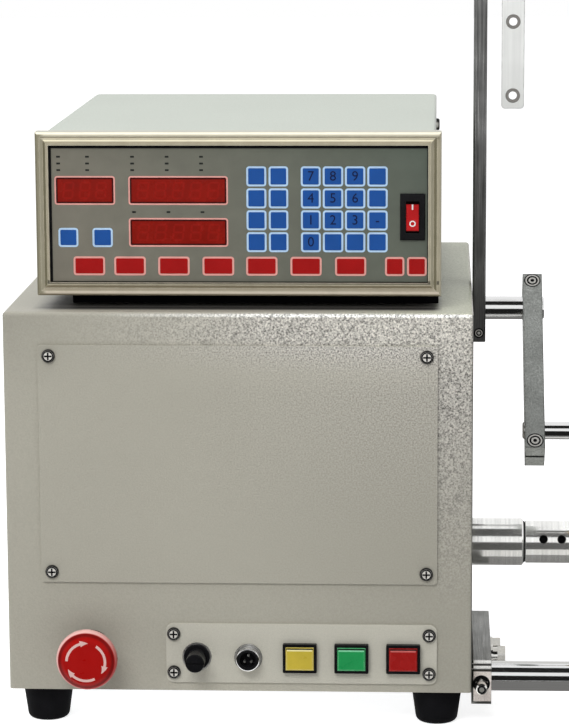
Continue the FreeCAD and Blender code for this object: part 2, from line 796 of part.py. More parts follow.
def back_panel():
    """Rear panel with vent slots and the cut-out of the mains inlet."""
    panel = box(
        "panel_blank",
        ("cabinet_width-2*cabinet_sheet", "back_thickness", "cabinet_height-cabinet_sheet-base_thickness"),
        (f"{LEFT}+cabinet_sheet", f"{BACK}-back_thickness", f"{BASE}+base_thickness"),
    )
    behind = f"({BACK}-2*back_thickness)"
    slots = [
        box(f"vent_{number}", ("vent_length", "3*back_thickness", "vent_width"),
            (f"{LEFT}+cabinet_width/2-vent_length/2", behind, f"{BASE}+vent_height+{number}*vent_pitch"))
        for number in range(VENT_COUNT)
    ]
    hole = box(
        "inlet_hole", ("inlet_core_width+2*seat_gap", "3*back_thickness", "inlet_core_height+2*seat_gap"),
        (f"{LEFT}+inlet_side-inlet_core_width/2-seat_gap", behind,
         f"{BASE}+inlet_lift-inlet_core_height/2-seat_gap"),
    )
    return cut("back_panel", panel, hole, *slots)


def rubber_feet():
    """Four tapered feet under the cabinet."""
    feet = []
    for side, across in (("left", f"({LEFT}+foot_inset)"), ("right", f"({RIGHT}-foot_inset)")):
        for end, depth in (("front", f"({FRONT}+foot_inset)"), ("back", f"({BACK}-foot_inset)")):
            profile = (("0", "0"), ("0", "foot_tip_radius"), ("foot_height", "foot_radius"),
                       ("foot_height", "0"))
            feet.append(turned(f"foot_{side}_{end}", profile, (across, depth, "0"), "z",
                               [("foot_round", [1], "Fillet")]))
    return group("rubber_feet", feet)


def side_plug():
    """Round plug that closes a hole in the left side."""
    profile = (("0", "0"), ("0", "plug_radius"), ("plug_reach", "plug_radius"),
               ("plug_reach", "plug_neck_radius"), ("plug_reach+plug_neck_length", "plug_neck_radius"),
               ("plug_reach+plug_neck_length", "0"))
    return turned("side_plug", profile, (f"{LEFT}-plug_reach", f"{FRONT}+plug_depth", f"{BASE}+plug_height"),
                  "x", [("plug_reach/2", [1], "Fillet")])


def access_cover():
    """Thin cover plate of the front opening."""
    plate = block(
        "cover_blank", ("cover_width", "cover_thickness", "cover_height"),
        (COVER_LEFT, f"{FRONT}-cover_thickness", COVER_BASE),
        [("cover_round", ("left top", "left bottom", "right top", "right bottom"))],
    )
    holes = [rod(f"cover_hole_{number}", SCREW_HOLE, "3*cover_thickness",
                 (across, f"{FRONT}-2*cover_thickness", up), "y")
             for number, (across, up) in enumerate(COVER_SCREWS)]
    return cut("access_cover", plate, *holes)


def button_plate():
    """Plate that carries the fuse, the foot-switch socket and the three buttons."""
    plate = block(
        "plate_blank", ("plate_width", "plate_thickness", "plate_height"),
        (PLATE_LEFT, PLATE_FACE, PLATE_BASE),
        [("plate_round", ("left top", "left bottom", "right top", "right bottom"))],
    )
    through, front = "3*plate_thickness", f"({PLATE_FACE}-plate_thickness)"
    holes = [rod(f"plate_hole_{number}", SCREW_HOLE, through, (across, front, up), "y")
             for number, (across, up) in enumerate(PLATE_SCREWS)]
    holes += [rod(f"plate_button_hole_{number}", "button_barrel_radius+seat_gap", through,
                  (across, front, ROW_HEIGHT), "y") for number, across in enumerate(BUTTON_PLACES)]
    holes.append(rod("plate_fuse_hole", "fuse_barrel_radius+seat_gap", through,
                     (FUSE_PLACE, front, ROW_HEIGHT), "y"))
    holes.append(rod("plate_socket_hole", "socket_tail_radius+seat_gap", through,
                     (SOCKET_PLACE, front, ROW_HEIGHT), "y"))
    return cut("button_plate", plate, *holes)


def panel_screws():
    """Pan-head screws of the access cover, the button plate and the control box."""
    screws = [pan_screw(f"cover_screw_{number}", (across, f"({FRONT}-cover_thickness)", up), "y")
              for number, (across, up) in enumerate(COVER_SCREWS)]
    screws += [pan_screw(f"plate_screw_{number}", (across, PLATE_FACE, up), "y")
               for number, (across, up) in enumerate(PLATE_SCREWS)]
    right = f"({CASE_LEFT}+{CASE_WIDTH})"
    for number, (depth, up) in enumerate(CASE_SCREWS):
        screws.append(pan_screw(f"case_screw_left_{number}", (CASE_LEFT, depth, up), "x"))
        screws.append(pan_screw(f"case_screw_right_{number}", (right, depth, up), "-x"))
    return group("panel_screws", screws)


def fuse_holder():
    """Ring and barrel of the fuse holder, bored for the cap's stem."""
    start = f"({PLATE_FACE}-fuse_ring_thickness)"
    ring_and_barrel = turned(
        "fuse_blank",
        (("0", "0"), ("0", "fuse_ring_radius"), ("fuse_ring_thickness", "fuse_ring_radius"),
         ("fuse_ring_thickness", "fuse_barrel_radius"), ("fuse_barrel_length", "fuse_barrel_radius"),
         ("fuse_barrel_length", "0")),
        (FUSE_PLACE, start, ROW_HEIGHT), "y", [("fuse_ring_thickness/3", [1], "Fillet")],
    )
    bore = rod("fuse_bore", "fuse_bore_radius+running_gap", "fuse_bore_depth",
               (FUSE_PLACE, start, ROW_HEIGHT), "y")
    return cut("fuse_holder", ring_and_barrel, bore)


def fuse_cap():
    """Knob of the fuse holder with its stem."""
    profile = (("0", "0"), ("0", "fuse_cap_radius"), ("fuse_cap_length", "fuse_cap_radius"),
               ("fuse_cap_length", "fuse_bore_radius"),
               ("fuse_cap_length+fuse_stem_length", "fuse_bore_radius"),
               ("fuse_cap_length+fuse_stem_length", "0"))
    front = f"{PLATE_FACE}-fuse_ring_thickness-free_gap-fuse_cap_length"
    cap = turned("fuse_cap_turned", profile, (FUSE_PLACE, front, ROW_HEIGHT), "y",
                 [("fuse_cap_round", [1], "Fillet")])
    slot = box("fuse_cap_slot", ("2*fuse_cap_radius", "2*fuse_cap_round", "fuse_slot_width"),
               (f"{FUSE_PLACE}-fuse_cap_radius", f"{front}-fuse_cap_round",
                f"{ROW_HEIGHT}-fuse_slot_width/2"))
    return cut("fuse_cap", cap, slot)


def foot_switch_socket():
    """Round metal socket with a recessed face, and its tail through the plate."""
    flange, reach = "socket_flange_thickness", "socket_reach"
    tail = f"({reach}+socket_tail_length)"
    profile = (("0", "0"), ("0", "socket_radius"), (f"({reach}-{flange})", "socket_radius"),
               (f"({reach}-{flange})", "socket_flange_radius"), (reach, "socket_flange_radius"),
               (reach, "socket_tail_radius"), (tail, "socket_tail_radius"), (tail, "0"))
    start = (SOCKET_PLACE, f"{PLATE_FACE}-{reach}", ROW_HEIGHT)
    barrel = turned("socket_blank", profile, start, "y", [("socket_round", [1], "Fillet")])
    return cut("foot_switch_socket", barrel,
               rod("socket_bore", "socket_bore_radius", "socket_bore_depth", start, "y"))


def button_housings():
    """Square frames of the three buttons with their round barrels."""
    housings = []
    front = f"({PLATE_FACE}-button_frame_depth)"
    for number, across in enumerate(BUTTON_PLACES):
        frame = block(
            f"button_frame_{number}", ("button_frame_width", "button_frame_depth", "button_frame_height"),
            (f"{across}-button_frame_width/2", front, f"{ROW_HEIGHT}-button_frame_height/2"),
            [("button_frame_round", ("left top", "left bottom", "right top", "right bottom"))],
        )
        barrel = rod(f"button_barrel_{number}", "button_barrel_radius", "button_barrel_length",
                     (across, PLATE_FACE, ROW_HEIGHT), "y")
        width, height = "(button_cap_width+2*free_gap)", "(button_cap_height+2*free_gap)"
        pocket = box(f"button_pocket_{number}", (width, "button_frame_depth-button_frame_floor", height),
                     (f"{across}-{width}/2", front, f"{ROW_HEIGHT}-{height}/2"))
        bore = rod(f"button_bore_{number}", "button_stem_radius+running_gap",
                   "button_frame_depth+button_barrel_length", (across, front, ROW_HEIGHT), "y")
        housings.append(cut(f"button_housing_{number}", fuse(f"button_body_{number}", frame, barrel),
                            pocket, bore))
    return group("button_housings", housings)


def button_cap(label, across):
    """A pressable cap with its stem."""
    front = f"({PLATE_FACE}-button_frame_depth-button_cap_proud)"
    cap = block(
        f"{label}_top", ("button_cap_width", CAP_DEPTH, "button_cap_height"),
        (f"{across}-button_cap_width/2", front, f"{ROW_HEIGHT}-button_cap_height/2"),
        [("button_cap_round", ("front left", "front right", "front top", "front bottom"), "Chamfer")],
    )
    stem = rod(f"{label}_stem", "button_stem_radius", f"button_stem_length+{CAP_DEPTH}/2",
               (across, f"{front}+{CAP_DEPTH}/2", ROW_HEIGHT), "y")
    return fuse(label, cap, stem)


def estop_housing():
    """Collar, barrel and contact block of the emergency stop."""
    across, up = f"({LEFT}+estop_side)", f"({BASE}+estop_lift)"
    start = f"({FRONT}-estop_collar_depth)"
    profile = (("0", "0"), ("0", "estop_collar_radius"), ("estop_collar_depth", "estop_collar_radius"),
               ("estop_collar_depth", "estop_barrel_radius"),
               ("estop_collar_depth+estop_barrel_length", "estop_barrel_radius"),
               ("estop_collar_depth+estop_barrel_length", "0"))
    barrel = turned("estop_barrel", profile, (across, start, up), "y",
                    [("estop_collar_round", [1], "Fillet")])
    contacts = box("estop_contacts", ("estop_block_width", "estop_block_depth", "estop_block_width"),
                   (f"{across}-estop_block_width/2", f"{FRONT}+estop_barrel_length",
                    f"{up}-estop_block_width/2"))
    bore = rod("estop_bore", "estop_stem_radius+running_gap",
               "estop_collar_depth+estop_barrel_length", (across, start, up), "y")
    return cut("estop_housing", fuse("estop_body", barrel, contacts), bore)


def estop_stem():
    """Plunger that the mushroom head pushes in."""
    start = f"{FRONT}-estop_reach+estop_head_depth-estop_stem_socket+free_gap"
    end = f"{FRONT}+estop_barrel_length-estop_travel-free_gap"
    return rod("estop_stem", "estop_stem_radius", f"({end})-({start})",
               (f"{LEFT}+estop_side", start, f"{BASE}+estop_lift"), "y")


def estop_head():
    """Mushroom head, which turns on the plunger."""
    rim = "(estop_head_depth-estop_dome_depth-estop_rim_depth)"
    dome = "(estop_head_depth-estop_dome_depth)"
    profile = (("0", "0"), ("0", "estop_neck_radius"), (f"{rim}/2", "estop_neck_radius"),
               (rim, "estop_head_radius"), (dome, "estop_head_radius"),
               ("estop_head_depth", "estop_dome_radius"), ("estop_head_depth", "0"))
    back = (f"{LEFT}+estop_side", f"{FRONT}-estop_reach+estop_head_depth", f"{BASE}+estop_lift")
    head = turned("estop_mushroom", profile, back, "-y",
                  [("estop_dome_depth", [4, 5], "Fillet"), ("estop_rim_round", [3], "Fillet")])
    socket = rod("estop_socket", "estop_stem_radius+running_gap", "estop_stem_socket", back, "-y")
    return cut("estop_head", head, socket)


def power_inlet():
    """Mains inlet in the back panel: a flange and a body with the plug's well."""
    across, up = f"({LEFT}+inlet_side)", f"({BASE}+inlet_lift)"
    flange = box("inlet_plate", ("inlet_width", "inlet_flange", "inlet_height"),
                 (f"{across}-inlet_width/2", BACK, f"{up}-inlet_height/2"))
    core = box("inlet_core", ("inlet_core_width", "inlet_depth", "inlet_core_height"),
               (f"{across}-inlet_core_width/2", f"{BACK}-inlet_depth", f"{up}-inlet_core_height/2"))
    width, height = "(inlet_core_width-2*inlet_wall)", "(inlet_core_height-2*inlet_wall)"
    well = box("inlet_well", (width, "inlet_depth+inlet_flange-inlet_wall", height),
               (f"{across}-{width}/2", f"{BACK}-inlet_depth+inlet_wall", f"{up}-{height}/2"))
    return cut("power_inlet", fuse("inlet_body", flange, core), well)


def spindle_housing():
    """Bearing housing: a barrel and flange inside, a polished sleeve outside."""
    centre = (SPINDLE_DEPTH, SPINDLE_HEIGHT)
    barrel = rod("housing_barrel", "housing_radius", "housing_length", (HOUSING_END, *centre))
    flange = rod("housing_flange", "housing_flange_radius", "housing_flange_thickness",
                 (f"{INNER_RIGHT}-housing_flange_thickness", *centre))
    sleeve = turned(
        "housing_sleeve",
        (("0", "0"), ("0", "sleeve_radius"), ("cabinet_sheet+sleeve_reach", "sleeve_radius"),
         ("cabinet_sheet+sleeve_reach", "0")),
        (INNER_RIGHT, *centre), "x", [("sleeve_edge", [2], "Chamfer")],
    )
    bore = rod("housing_bore", "spindle_radius+free_gap", "housing_length+cabinet_sheet+sleeve_reach",
               (HOUSING_END, *centre))
    seats = [rod(f"housing_seat_{number}", "bearing_radius+press_gap", "bearing_width", (start, *centre))
             for number, start in enumerate(BEARING_STARTS)]
    return cut("spindle_housing", fuse("housing_blank", barrel, flange, sleeve), bore, *seats)


def spindle_bearings():
    """Two ball bearings as closed rings in the housing's seats."""
    rings = []
    for number, start in enumerate(BEARING_STARTS):
        at = (start, SPINDLE_DEPTH, SPINDLE_HEIGHT)
        ring = rod(f"bearing_outside_{number}", "bearing_radius", "bearing_width", at)
        bore = rod(f"bearing_bore_{number}", "spindle_radius+running_gap", "bearing_width", at)
        rings.append(cut(f"bearing_{number}", ring, bore))
    return group("spindle_bearings", rings)


def spindle_shaft():
    """Spindle with a bored nose and a row of grip-screw holes."""
    centre = (SPINDLE_DEPTH, SPINDLE_HEIGHT)
    shaft = rod("spindle_bar", "spindle_radius", f"{NOSE_START}-{SPINDLE_END}+nose_edge",
                (SPINDLE_END, *centre))
    nose = turned("spindle_nose",
                  (("0", "0"), ("0", "nose_radius"), ("nose_length", "nose_radius"), ("nose_length", "0")),
                  (NOSE_START, *centre), "x", [("nose_edge", [1, 2], "Chamfer")])
    bore = rod("nose_bore", "nose_bore_radius", "nose_bore_depth",
               (f"{NOSE_END}-nose_bore_depth", *centre))
    holes = [
        tip(upright_rod(f"grip_hole_{number}", "grip_hole_radius", "2*nose_radius"),
            (f"({NOSE_START}+grip_hole_start+{number}*grip_hole_pitch)", *centre), "90-grip_hole_tilt")
        for number in range(GRIP_HOLE_COUNT)
    ]
    return cut("spindle_shaft", fuse("spindle_blank", shaft, nose), bore, *holes)


def pulley(label, radius, start, bore):
    """A belt pulley with two rims."""
    rim, wall = f"({radius}+pulley_rim_height)", "pulley_rim_thickness"
    inner = f"(pulley_width-{wall})"
    profile = (("0", bore), ("0", rim), (wall, rim), (wall, radius), (inner, radius), (inner, rim),
               ("pulley_width", rim), ("pulley_width", bore))
    return turned(label, profile, start)


def brake_coil():
    """Fixed coil of the electromagnetic brake, on the housing's inner end."""
    at = (f"{HOUSING_END}-brake_coil_length", SPINDLE_DEPTH, SPINDLE_HEIGHT)
    return cut("brake_coil", rod("brake_coil_body", "brake_radius", "brake_coil_length", at),
               rod("brake_coil_bore", "spindle_radius+free_gap", "brake_coil_length", at))


def brake_disc():
    """Armature disc of the brake, on the spindle."""
    at = (DISC_LEFT, SPINDLE_DEPTH, SPINDLE_HEIGHT)
    return cut("brake_disc", rod("brake_disc_body", "brake_radius", "brake_disc_thickness", at),
               rod("brake_disc_bore", "spindle_radius+press_gap", "brake_disc_thickness", at))


def drive_belt():
    """Closed belt round the two pulleys: two arcs and two tangent runs, padded to the belt's width."""
    small, large = value("motor_pulley_radius+free_gap"), value("spindle_pulley_radius+free_gap")
    motor = Vector(0, value(MOTOR_DEPTH), value(MOTOR_HEIGHT))
    spindle = Vector(0, value(SPINDLE_DEPTH), value(SPINDLE_HEIGHT))
    reach = spindle - motor
    lean = FreeCAD.Vector(reach).normalize()
    across = Vector(1, 0, 0).cross(lean)

    def loop(extra):
        drop = (large - small) / reach.Length
        flank = (1 - drop * drop) ** 0.5
        sides = [lean * -drop + across * (sign * flank) for sign in (1, -1)]
        at = [[centre + side * (radius + extra) for side in sides]
              for centre, radius in ((motor, small), (spindle, large))]
        far_motor = motor - lean * (small + extra)
        far_spindle = spindle + lean * (large + extra)
        edges = [
            Part.Arc(at[0][0], far_motor, at[0][1]).toShape(),
            Part.LineSegment(at[0][1], at[1][1]).toShape(),
            Part.Arc(at[1][1], far_spindle, at[1][0]).toShape(),
            Part.LineSegment(at[1][0], at[0][0]).toShape(),
        ]
        return Part.Face(Part.Wire(edges))

    ring = loop(value("belt_thickness")).cut(loop(0))
    item = add("Part::Feature", "drive_belt")
    item.Shape = ring.extrude(Vector(value("belt_width"), 0, 0))
    return place(item, (f"{PULLEY_LEFT}+(pulley_width-belt_width)/2", "0", "0"))


def drive_motor():
    """Motor with end caps, standing on a foot on the base plate."""
    centre = (MOTOR_DEPTH, MOTOR_HEIGHT)
    start = f"({MOTOR_FACE}-motor_length)"
    can = rod("motor_can", "motor_radius", "motor_length", (start, *centre))
    caps = [rod(f"motor_cap_{number}", "motor_cap_radius", "motor_cap_length", (left, *centre))
            for number, left in enumerate((start, f"{MOTOR_FACE}-motor_cap_length"))]
    foot = box("motor_foot", ("motor_length-2*motor_cap_length", "motor_foot_width",
                              "motor_axis_lift-base_thickness"),
               (f"{start}+motor_cap_length", f"{MOTOR_DEPTH}-motor_foot_width/2", f"{BASE}+base_thickness"))
    bore = rod("motor_bore", "motor_shaft_radius+running_gap", "motor_shaft_depth+free_gap",
               (f"{MOTOR_FACE}-motor_shaft_depth-free_gap", *centre))
    return cut("drive_motor", fuse("motor_body", can, *caps, foot), bore)


def motor_pulley():
    """Pulley in one piece with the motor's shaft."""
    start = (PULLEY_LEFT, MOTOR_DEPTH, MOTOR_HEIGHT)
    shaft = rod("motor_shaft", "motor_shaft_radius", "motor_shaft_depth+pulley_gap+pulley_width",
                (f"{MOTOR_FACE}-motor_shaft_depth", MOTOR_DEPTH, MOTOR_HEIGHT))
    return fuse("motor_pulley", shaft, pulley("motor_pulley_rim", "motor_pulley_radius", start, "0"))


def mains_transformer():
    """Laminated core with its winding."""
    across, depth = f"({LEFT}+transformer_side)", f"({FRONT}+transformer_back)"
    floor = f"({BASE}+base_thickness)"
    core = box("transformer_core", ("transformer_width", "transformer_depth", "transformer_height"),
               (across, depth, floor))
    coil = block(
        "transformer_coil",
        ("transformer_coil_width", "transformer_coil_depth", "transformer_height-2*transformer_coil_margin"),
        (f"{across}+(transformer_width-transformer_coil_width)/2",
         f"{depth}+(transformer_depth-transformer_coil_depth)/2", f"{floor}+transformer_coil_margin"),
        [("transformer_coil_margin/2", ("front left", "front right", "back left", "back right"))],
    )
    return fuse("mains_transformer", core, coil)


def traverse_bench():
    """Frame of the traverse drive: a top plate under the cabinet's top and two end walls."""
    front = f"({ROD_DEPTH}-bench_front)"
    top = box("bench_top", (BENCH_LENGTH, "bench_depth", "bench_top_thickness"),
              (BENCH_LEFT, front, f"{BENCH_TOP}-bench_top_thickness"))
    left = box("bench_left", ("bench_wall", "bench_depth", "bench_height"),
               (BENCH_LEFT, front, f"{BENCH_TOP}-bench_height"))
    right = box("bench_right", ("bench_wall", "bench_depth", "bench_height"),
                (f"{INNER_RIGHT}-bench_wall", front, f"{BENCH_TOP}-bench_height"))
    bush_hole = rod("bench_bush_hole", "bush_radius+running_gap", "2*bench_wall",
                    (f"{INNER_RIGHT}-2*bench_wall", ROD_DEPTH, ROD_HEIGHT))
    screw_hole = rod("bench_screw_hole", "lead_screw_radius+running_gap", BENCH_LENGTH,
                     (BENCH_LEFT, SCREW_DEPTH, SCREW_HEIGHT))
    return cut("traverse_bench", fuse("bench_blank", top, left, right), bush_hole, screw_hole)


def rod_bush():
    """Flanged bush that carries the traverse rod through the cabinet's side."""
    profile = (
        ("0", "rod_radius+running_gap"), ("0", "bush_flange_radius"),
        ("bush_flange_thickness", "bush_flange_radius"), ("bush_flange_thickness", "bush_radius"),
        ("bush_flange_thickness+bench_wall+cabinet_sheet", "bush_radius"),
        ("bush_flange_thickness+bench_wall+cabinet_sheet", "rod_radius+running_gap"),
    )
    return turned("rod_bush", profile,
                  (f"{INNER_RIGHT}-bench_wall-bush_flange_thickness", ROD_DEPTH, ROD_HEIGHT))


def stepper_motor():
    """Stepper motor on the bench's left wall, bored for the lead screw's end."""
    half = "stepper_width/2"
    body = block("stepper_body", ("stepper_length", "stepper_width", "stepper_width"),
                 (f"{BENCH_LEFT}-stepper_length", f"{SCREW_DEPTH}-{half}", f"{SCREW_HEIGHT}-{half}"),
                 [("stepper_round", ("front top", "front bottom", "back top", "back bottom"), "Chamfer")])
    bore = rod("stepper_bore", "lead_screw_radius+running_gap", "lead_screw_socket+free_gap",
               (f"{BENCH_LEFT}-lead_screw_socket-free_gap", SCREW_DEPTH, SCREW_HEIGHT))
    return cut("stepper_motor", body, bore)


def lead_screw():
    """Screw that drives the carriage."""
    start = f"({BENCH_LEFT}-lead_screw_socket)"
    return rod("lead_screw", "lead_screw_radius", f"{INNER_RIGHT}-free_gap-{start}",
               (start, SCREW_DEPTH, SCREW_HEIGHT))


def traverse_carriage():
    """Block that joins the lead screw's nut to the traverse rod."""
    top = f"({BENCH_TOP}-bench_top_thickness-free_gap)"
    blank = box("carriage_blank", ("carriage_width", "carriage_depth", "carriage_height"),
                (CARRIAGE_LEFT, f"{ROD_DEPTH}-carriage_front", f"{top}-carriage_height"))
    rod_hole = rod("carriage_rod_hole", "rod_radius+press_gap", "carriage_width",
                   (CARRIAGE_LEFT, ROD_DEPTH, ROD_HEIGHT))
    nut = rod("carriage_nut", "lead_screw_radius+running_gap", "carriage_width",
              (CARRIAGE_LEFT, SCREW_DEPTH, SCREW_HEIGHT))
    return cut("traverse_carriage", blank, rod_hole, nut)


def round_bar(label, radius, start, length):
    """A round bar along X with chamfered ends."""
    profile = (("0", "0"), ("0", radius), (length, radius), (length, "0"))
    return turned(label, profile, start, "x", [("rod_edge", [1, 2], "Chamfer")])


def traverse_rod():
    """Rod that moves the post and the drop arm."""
    end = f"({ARM_LEFT}+arm_width+rod_end_reach)"
    return round_bar("traverse_rod", "rod_radius", (CARRIAGE_LEFT, ROD_DEPTH, ROD_HEIGHT),
                     f"({end}-{CARRIAGE_LEFT})")


def guide_post():
    """Upright bar clamped on the traverse rod, split below the rod."""
    front, foot = f"({ROD_DEPTH}-post_depth/2)", f"({ROD_HEIGHT}-post_below_rod)"
    bar = block("post_bar", ("post_width", "post_depth", "post_below_rod+post_above_rod"),
                (POST_LEFT, front, foot),
                [("post_round", ("front left", "front right", "back left", "back right"), "Chamfer")])
    eye = rod("post_eye", "rod_radius+press_gap", "post_width", (POST_LEFT, ROD_DEPTH, ROD_HEIGHT))
    upper = rod("post_upper_eye", "upper_rod_radius+press_gap", "post_width",
                (POST_LEFT, ROD_DEPTH, UPPER_HEIGHT))
    slit = box("post_slit", ("post_width", "slit_width", "post_below_rod"),
               (POST_LEFT, f"{ROD_DEPTH}-slit_width/2", foot))
    middle, height = f"({POST_LEFT}+post_width/2)", f"({ROD_HEIGHT}-post_screw_drop)"
    head = rod("post_screw_well", "post_screw_head_radius+seat_gap", "post_screw_head_depth",
               (middle, front, height), "y")
    shank = rod("post_screw_hole", "post_screw_radius+seat_gap", "post_depth", (middle, front, height), "y")
    return cut("guide_post", bar, eye, upper, slit, head, shank)


def cap_screw(label, prefix, shank_length, start):
    """A socket-head cap screw that leads back into its hole; its sizes share a prefix."""
    head_radius, head_depth = f"{prefix}_screw_head_radius", f"{prefix}_screw_head_depth"
    shank_radius = f"{prefix}_screw_radius"
    profile = (("0", "0"), ("0", head_radius), (head_depth, head_radius), (head_depth, shank_radius),
               (f"({head_depth}+{shank_length})", shank_radius), (f"({head_depth}+{shank_length})", "0"))
    screw = turned(f"{label}_turned", profile, start, "y", [(f"{head_depth}/10", [1], "Chamfer")])
    well = hexagon(f"{label}_socket", f"{prefix}_recess_radius", "hex_recess_depth", start, "y")
    return cut(label, screw, well)


def post_screw():
    """Cap screw that closes the post's split clamp."""
    return cap_screw("post_screw", "post", "(post_depth-post_screw_head_depth-post_screw_margin)",
                     (f"{POST_LEFT}+post_width/2", f"{ROD_DEPTH}-post_depth/2",
                      f"{ROD_HEIGHT}-post_screw_drop"))


def upper_rod():
    """Short rod through the post's top that carries the eyelet plate."""
    return round_bar("upper_rod", "upper_rod_radius", (POST_LEFT, ROD_DEPTH, UPPER_HEIGHT),
                     "upper_rod_reach")


def eyelet_plate():
    """Hanging strip with two eyelet holes, on a clamp block round the upper rod."""
    strip = block("eyelet_strip", ("eyelet_plate_width", "eyelet_plate_thickness",
                                   "(eyelet_plate_drop+eyelet_clamp_height/2)"),
                  (EYELET_LEFT, EYELET_FACE, EYELET_FOOT),
                  [("eyelet_plate_round", ("left bottom", "right bottom", "left top", "right top"))])
    clamp = box("eyelet_clamp", ("eyelet_plate_width", "eyelet_clamp_depth-eyelet_plate_thickness",
                                 "eyelet_clamp_height"),
                (EYELET_LEFT, f"{EYELET_FACE}+eyelet_plate_thickness",
                 f"{UPPER_HEIGHT}-eyelet_clamp_height/2"))
    eye = rod("eyelet_clamp_eye", "upper_rod_radius+running_gap", "eyelet_plate_width",
              (EYELET_LEFT, ROD_DEPTH, UPPER_HEIGHT))
    middle = f"({EYELET_LEFT}+eyelet_plate_width/2)"
    holes = [rod(f"eyelet_hole_{number}", "eyelet_neck_radius+running_gap", "3*eyelet_plate_thickness",
                 (middle, f"{EYELET_FACE}-eyelet_plate_thickness", up), "y")
             for number, up in enumerate(EYELET_CENTRES)]
    return cut("eyelet_plate", fuse("eyelet_blank", strip, clamp), eye, *holes)


def eyelets():
    """Two ceramic eyelets with flanges on both faces of the strip."""
    flange, neck = "eyelet_flange_thickness", "(eyelet_flange_thickness+eyelet_plate_thickness)"
    end, bore = f"({neck}+{flange})", "eyelet_bore_radius"
    profile = (("0", bore), ("0", "eyelet_flange_radius"), (flange, "eyelet_flange_radius"),
               (flange, "eyelet_neck_radius"), (neck, "eyelet_neck_radius"),
               (neck, "eyelet_flange_radius"), (end, "eyelet_flange_radius"), (end, bore))
    rings = [
        turned(f"eyelet_{number}", profile,
               (f"{EYELET_LEFT}+eyelet_plate_width/2", f"{EYELET_FACE}-{flange}", up), "y",
               [(f"{flange}/3", [1, 6], "Fillet")])
        for number, up in enumerate(EYELET_CENTRES)
    ]
    return group("eyelets", rings)


def arm_point(along, across="0"):
    """A point of the drop arm: along it from the traverse rod, and across it to the front."""
    return (f"({ROD_DEPTH}-({along})*cos(arm_lean)-({across})*sin(arm_lean))",
            f"({ROD_HEIGHT}-({along})*sin(arm_lean)+({across})*cos(arm_lean))")


def into_arm(item, along, across):
    """Set an upright bar square to the arm's broad face, leading back into it."""
    return tip(item, (ARM_MIDDLE, *arm_point(along, across)), "-(180-arm_lean)")


def drop_arm():
    """Leaning clamp bar between the traverse rod and the nozzle rod, split at both ends."""
    foot, head = (arm_point(end) for end in ARM_ENDS)
    bar = link("arm_bar", foot, head, "(arm_thickness/2)", "arm_width", ARM_LEFT)
    tools = [
        link("arm_slit_upper", foot, arm_point("0"), "(slit_width/2)", "arm_width", ARM_LEFT),
        link("arm_slit_lower", arm_point("arm_span"), head, "(slit_width/2)", "arm_width", ARM_LEFT),
        rod("arm_rod_eye", "rod_radius+running_gap", "arm_width", (ARM_LEFT, ROD_DEPTH, ROD_HEIGHT)),
        rod("arm_nozzle_eye", "nozzle_rod_radius+press_gap", "arm_width",
            (ARM_LEFT, NOZZLE_DEPTH, NOZZLE_HEIGHT)),
    ]
    for number, along in enumerate(ARM_SCREWS):
        well = upright_rod(f"arm_well_{number}", "arm_screw_head_radius+seat_gap", "arm_screw_head_depth")
        hole = upright_rod(f"arm_hole_{number}", "arm_screw_radius+seat_gap",
                           "arm_screw_head_depth+arm_screw_length")
        tools += [into_arm(tool, along, "arm_thickness/2") for tool in (well, hole)]
    return cut("drop_arm", bar, *tools)


def arm_screws():
    """Cap screws that close the drop arm's two clamps."""
    screws = []
    for number, along in enumerate(ARM_SCREWS):
        head = upright_rod(f"arm_screw_head_{number}", "arm_screw_head_radius", "arm_screw_head_depth")
        shank = upright_rod(f"arm_screw_shank_{number}", "arm_screw_radius", "arm_screw_length-free_gap")
        well = upright_hexagon(f"arm_screw_socket_{number}", "arm_recess_radius", "hex_recess_depth")
        into_arm(head, along, "arm_thickness/2")
        into_arm(shank, along, "arm_thickness/2-arm_screw_head_depth")
        into_arm(well, along, "arm_thickness/2")
        screws.append(cut(f"arm_screw_{number}", fuse(f"arm_screw_blank_{number}", head, shank), well))
    return group("arm_screws", screws)


def nozzle_rod():
    """Rod in the drop arm's lower end that carries the wire nozzle."""
    return round_bar("nozzle_rod", "nozzle_rod_radius", (NOZZLE_ROD_LEFT, NOZZLE_DEPTH, NOZZLE_HEIGHT),
                     f"({NOZZLE_LEFT}+nozzle_block_width+nozzle_travel+nozzle_rod_margin-{NOZZLE_ROD_LEFT})")


def wire_nozzle():
    """Block on the nozzle rod with a thin tube that leads the wire down."""
    half = "nozzle_block_height/2"
    body = block("nozzle_body", ("nozzle_block_width", "nozzle_block_height", "nozzle_block_height"),
                 (NOZZLE_LEFT, f"{NOZZLE_DEPTH}-{half}", f"{NOZZLE_HEIGHT}-{half}"),
                 [("nozzle_edge", ("front top", "front bottom", "back top", "back bottom"), "Chamfer")])
    front = f"({NOZZLE_DEPTH}-{half})"
    lug = box("nozzle_lug", ("nozzle_block_width", "2*nozzle_tube_radius", "nozzle_block_height"),
              (NOZZLE_LEFT, f"{front}-nozzle_tube_radius", f"{NOZZLE_HEIGHT}-{half}"))
    end = (f"({NOZZLE_LEFT}+nozzle_block_width/2)", front, f"({NOZZLE_HEIGHT}-nozzle_tube_length)")
    tube = turned("nozzle_tube",
                  (("0", "0"), ("0", "nozzle_tube_radius"), ("nozzle_tube_length", "nozzle_tube_radius"),
                   ("nozzle_tube_length", "0")), end, "z", [("nozzle_tip_edge", [1], "Chamfer")])
    eye = rod("nozzle_eye", "nozzle_rod_radius+running_gap", "nozzle_block_width",
              (NOZZLE_LEFT, NOZZLE_DEPTH, NOZZLE_HEIGHT))
    bore = rod("nozzle_bore", "nozzle_bore_radius", "nozzle_tube_length+nozzle_block_height", end, "z")
    return cut("wire_nozzle", fuse("nozzle_blank", body, lug, tube), eye, bore)


